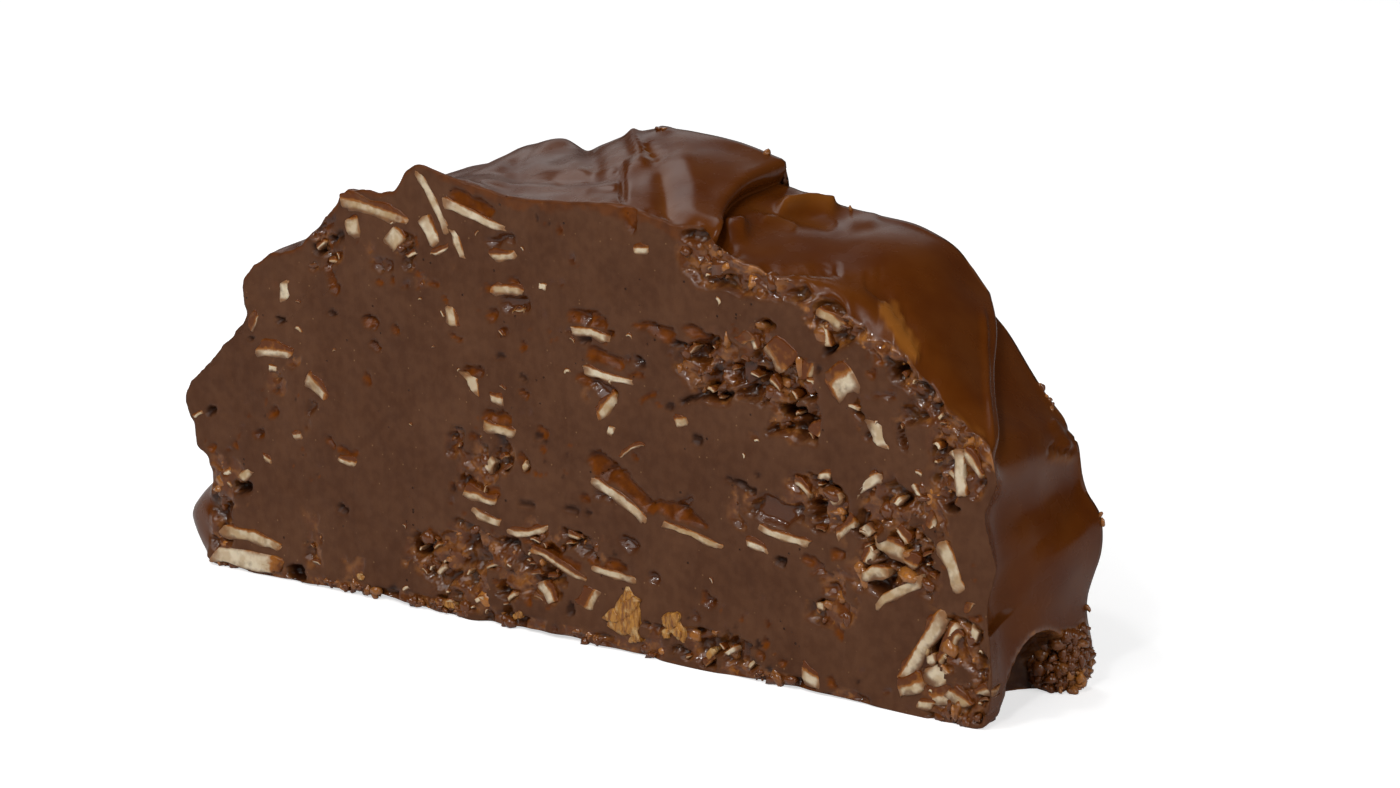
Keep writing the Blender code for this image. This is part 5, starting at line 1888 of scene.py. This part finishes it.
    @staticmethod
    def wafer(finish: WaferFinish) -> bpy.types.Material:
        """Golden flaky bits: toasted patches over gold, with a rough, layered surface.

        Args:
            finish: Colours and gloss.

        Returns:
            The material.
        """
        # Golden flaky bits: toasted patches and painted pale highlights over gold, with a rough, layered
        # surface.
        s = Shader("golden_flakes")
        layers = s.ease(s.noise(0.42, 3.0, (1.0, 1.0, 3.5)), 0.36, 0.66)
        colour = s.mix(layers, finish.gold, finish.toast)
        # Painted highlight: pale patches mixed in by noise.
        colour = s.mix(s.ease(s.noise(1.3, 3.0), 0.52, 0.68, 0.0, 0.7), colour, finish.painted_highlight)
        normal = s.bump(s.noise(0.8, 3.0, (1.0, 1.0, 2.5)), 0.7, 1.0)
        return s.finished(Base_Color=colour, Roughness=finish.gloss, Normal=normal)

    @staticmethod
    def crumb(finish: FudgeFinish) -> bpy.types.Material:
        """Loose crumbs: brown to amber from one to the next, glossy.

        Args:
            finish: The fudge's colours and gloss.

        Returns:
            The material.
        """
        s = Shader("crumb")
        patch = s.plus(s.mark("tone"), s.times(s.less(s.noise(0.6, 3.0), 0.5), 0.5))
        colour = s.mix(s.ease(patch, 0.25, 0.75), finish.crumb, finish.crumb_light)
        colour = s.mix(s.ease(patch, 0.84, 0.98), colour, finish.amber)
        return s.finished(
            Base_Color=colour, Roughness=finish.crumb_gloss, IOR=finish.ior, Coat_Weight=0.8,
            Coat_Roughness=finish.coat_gloss, Normal=s.bump(s.noise(1.2, 1.0), 0.16, 0.6),
        )

    @staticmethod
    def floor() -> bpy.types.Material:
        """A plain, nearly white floor with the faintest grain.

        Returns:
            The material.
        """
        s = Shader("pale_floor")
        glow = s.times(s.node("LightPath").outputs["Is Camera Ray"], 0.62)
        colour = s.mix(s.noise(40.0, 2.0), (0.79, 0.79, 0.79), (0.81, 0.81, 0.81))
        return s.finished(
            Base_Color=colour, Roughness=0.7, Emission_Color=(1.0, 1.0, 1.0), Emission_Strength=glow
        )


@dataclass(frozen=True)
class CameraPlan:
    """The photograph's camera: where it aims, in millimetres, its turn, and its lens."""

    aim: Triple = (-46.4, 0.0, 38.6)
    azimuth: float = 36.6
    elevation: float = 13.8
    distance: float = 700.0
    lens: float = 134.1


@dataclass(frozen=True)
class SoftBox:
    """One flat white light: its place in metres, its size and its strength."""

    name: str
    place: Triple
    width: float
    height: float
    watts: float


LIGHTS = (
    SoftBox("overhead_left", (-0.95, 0.36, 1.15), 0.95, 0.95, 4.8),
    SoftBox("back_left", (-0.95, 1.25, 0.60), 0.9, 0.5, 0.9),
    SoftBox("front", (0.05, -0.95, 0.90), 0.8, 0.8, 5.2),
    SoftBox("glint_left", (-0.50, -0.80, 0.75), 0.08, 0.08, 1.6),
    SoftBox("glint_right", (0.30, -0.90, 0.80), 0.08, 0.08, 1.6),
    SoftBox("glint_high", (-0.10, -0.60, 1.20), 0.08, 0.08, 1.7),
    SoftBox("glint_side", (0.85, -0.55, 0.60), 0.08, 0.08, 0.8),
    SoftBox("fill_right", (1.30, -0.25, 0.55), 1.0, 1.0, 4.6),
)


@dataclass(frozen=True)
class Studio:
    """Floor, light and camera."""

    plan: CameraPlan
    floor_half: float = 6.0
    surround: float = 0.06

    def floor(self) -> bpy.types.Object:
        """Lays a wide plain floor.

        Returns:
            The floor object.
        """
        mesh = bpy.data.meshes.new("floor")
        half = self.floor_half
        corners = [(-half, -half, 0.0), (half, -half, 0.0), (half, half, 0.0), (-half, half, 0.0)]
        mesh.from_pydata(corners, [], [(0, 1, 2, 3)])
        obj = bpy.data.objects.new("floor", mesh)
        bpy.context.scene.collection.objects.link(obj)
        mesh.materials.append(Materials.floor())
        return obj

    def world(self) -> None:
        """Makes an even white surrounding light, faint on the slice and full behind it."""
        world = bpy.data.worlds.new("studio")
        bpy.context.scene.world = world
        world.use_nodes = True
        tree = world.node_tree
        background = tree.nodes["Background"]
        background.inputs["Color"].default_value = (1.0, 1.0, 1.0, 1.0)
        seen = tree.nodes.new("ShaderNodeMapRange")
        seen.inputs["To Min"].default_value = self.surround
        seen.inputs["To Max"].default_value = 1.0
        tree.links.new(tree.nodes.new("ShaderNodeLightPath").outputs["Is Camera Ray"], seen.inputs["Value"])
        tree.links.new(seen.outputs["Result"], background.inputs["Strength"])

    @staticmethod
    def light(box: SoftBox) -> None:
        """Hangs one soft box, turned towards the slice.

        Args:
            box: Its place, size and strength.
        """
        data = bpy.data.lights.new(box.name, "AREA")
        data.shape = "RECTANGLE"
        data.size = box.width
        data.size_y = box.height
        data.energy = box.watts
        obj = bpy.data.objects.new(box.name, data)
        obj.location = box.place
        obj.rotation_euler = (Vector((0.0, 0.0, 0.03)) - obj.location).to_track_quat("-Z", "Y").to_euler()
        bpy.context.scene.collection.objects.link(obj)

    def camera(self) -> None:
        """Sets the camera at the photograph's angle."""
        turn, rise = math.radians(self.plan.azimuth), math.radians(self.plan.elevation)
        away = Vector((math.sin(turn) * math.cos(rise), -math.cos(turn) * math.cos(rise), math.sin(rise)))
        data = bpy.data.cameras.new("camera")
        data.lens = self.plan.lens
        data.sensor_width = 36.0
        obj = bpy.data.objects.new("camera", data)
        aim = Vector(to_frame(np.array(self.plan.aim)))
        obj.location = aim + away * self.plan.distance * MM
        obj.rotation_euler = (-away).to_track_quat("-Z", "Y").to_euler()
        bpy.context.scene.collection.objects.link(obj)
        bpy.context.scene.camera = obj

    def build(self) -> None:
        """Makes the floor, the lights and the camera."""
        self.floor()
        self.world()
        for box in LIGHTS:
            self.light(box)
        self.camera()
        bpy.context.scene.view_settings.view_transform = "Standard"


@dataclass(frozen=True)
class FudgeSlice:
    """The whole slice: the body, its almonds, the golden flakes and the crumbs."""

    nodes: list[str]
    finish: FudgeFinish = FudgeFinish()

    def add(self, obj: bpy.types.Object, material: bpy.types.Material, slot: str) -> None:
        """Gives a piece its material and its place in the part.

        Args:
            obj: The piece.
            material: Its finish.
            slot: The record's material slot; not used.
        """
        obj.data.materials.append(material)
        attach(obj, "root")

    def build(self) -> None:
        """Builds every piece."""
        body = FudgeBody(Outline(), GridSize())
        slice_object = body.build()
        self.add(slice_object, Materials.fudge(self.finish), "fudge")
        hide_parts("fudge")

        almond = Materials.almond(AlmondFinish())
        front = body.front
        flakes = FlakeMaker("almond_flakes", FlakeGrid(), front, 300).build(FLAKES)
        self.add(flakes, almond, "almond")
        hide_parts(*[name for name in self.nodes if name.startswith("almond")])
        chips = FlakeMaker("almond_chips", FlakeGrid(around=32), front, 320).build(CHIPS)
        self.add(chips, almond, "almond")
        small = FlakeGrid(around=18, thicker=1.0, profile=FlakeGrid.profile[1::2])
        strewn = strewn_bits(BitPlan(), front, body.border, 41)
        self.add(FlakeMaker("almond_bits", small, front, 330).build(strewn), almond, "almond")
        behind = tuple(flake for flake in FLAKES + CHIPS if self.fits_behind(flake))
        back_flakes = FlakeMaker("back_flakes", FlakeGrid(around=28), body.rear, 350, True).build(behind)
        self.add(back_flakes, almond, "almond")

        layered = FlakeGrid(around=32, squareness=2.0)
        wafer = FlakeMaker("wafer_flakes", layered, front, 340).build(WAFER_CHIPS)
        self.add(wafer, Materials.wafer(WaferFinish()), "wafer")
        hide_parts("wafer_piece")
        self.add(Crumbs(CrumbPlan(), body).build(), Materials.crumb(self.finish), "fudge")

    @staticmethod
    def fits_behind(flake: Flake) -> bool:
        """Tells whether a front flake, turned half round, lies well inside the back face."""
        return -128.0 < flake.x < -14.0 and 3.0 < flake.z < face_height(FACE_TURN - flake.x) - 8.0


def main(nodes: list[str]) -> None:
    """Builds the slice and its studio.

    Args:
        nodes: The names of the solids' nodes.
    """
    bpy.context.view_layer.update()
    FudgeSlice(nodes).build()
    Studio(CameraPlan()).build()


if __name__ == "__main__":
    logging.basicConfig(level=logging.INFO, format="%(message)s")
    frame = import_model()
    main(sorted(frame["nodes"]))
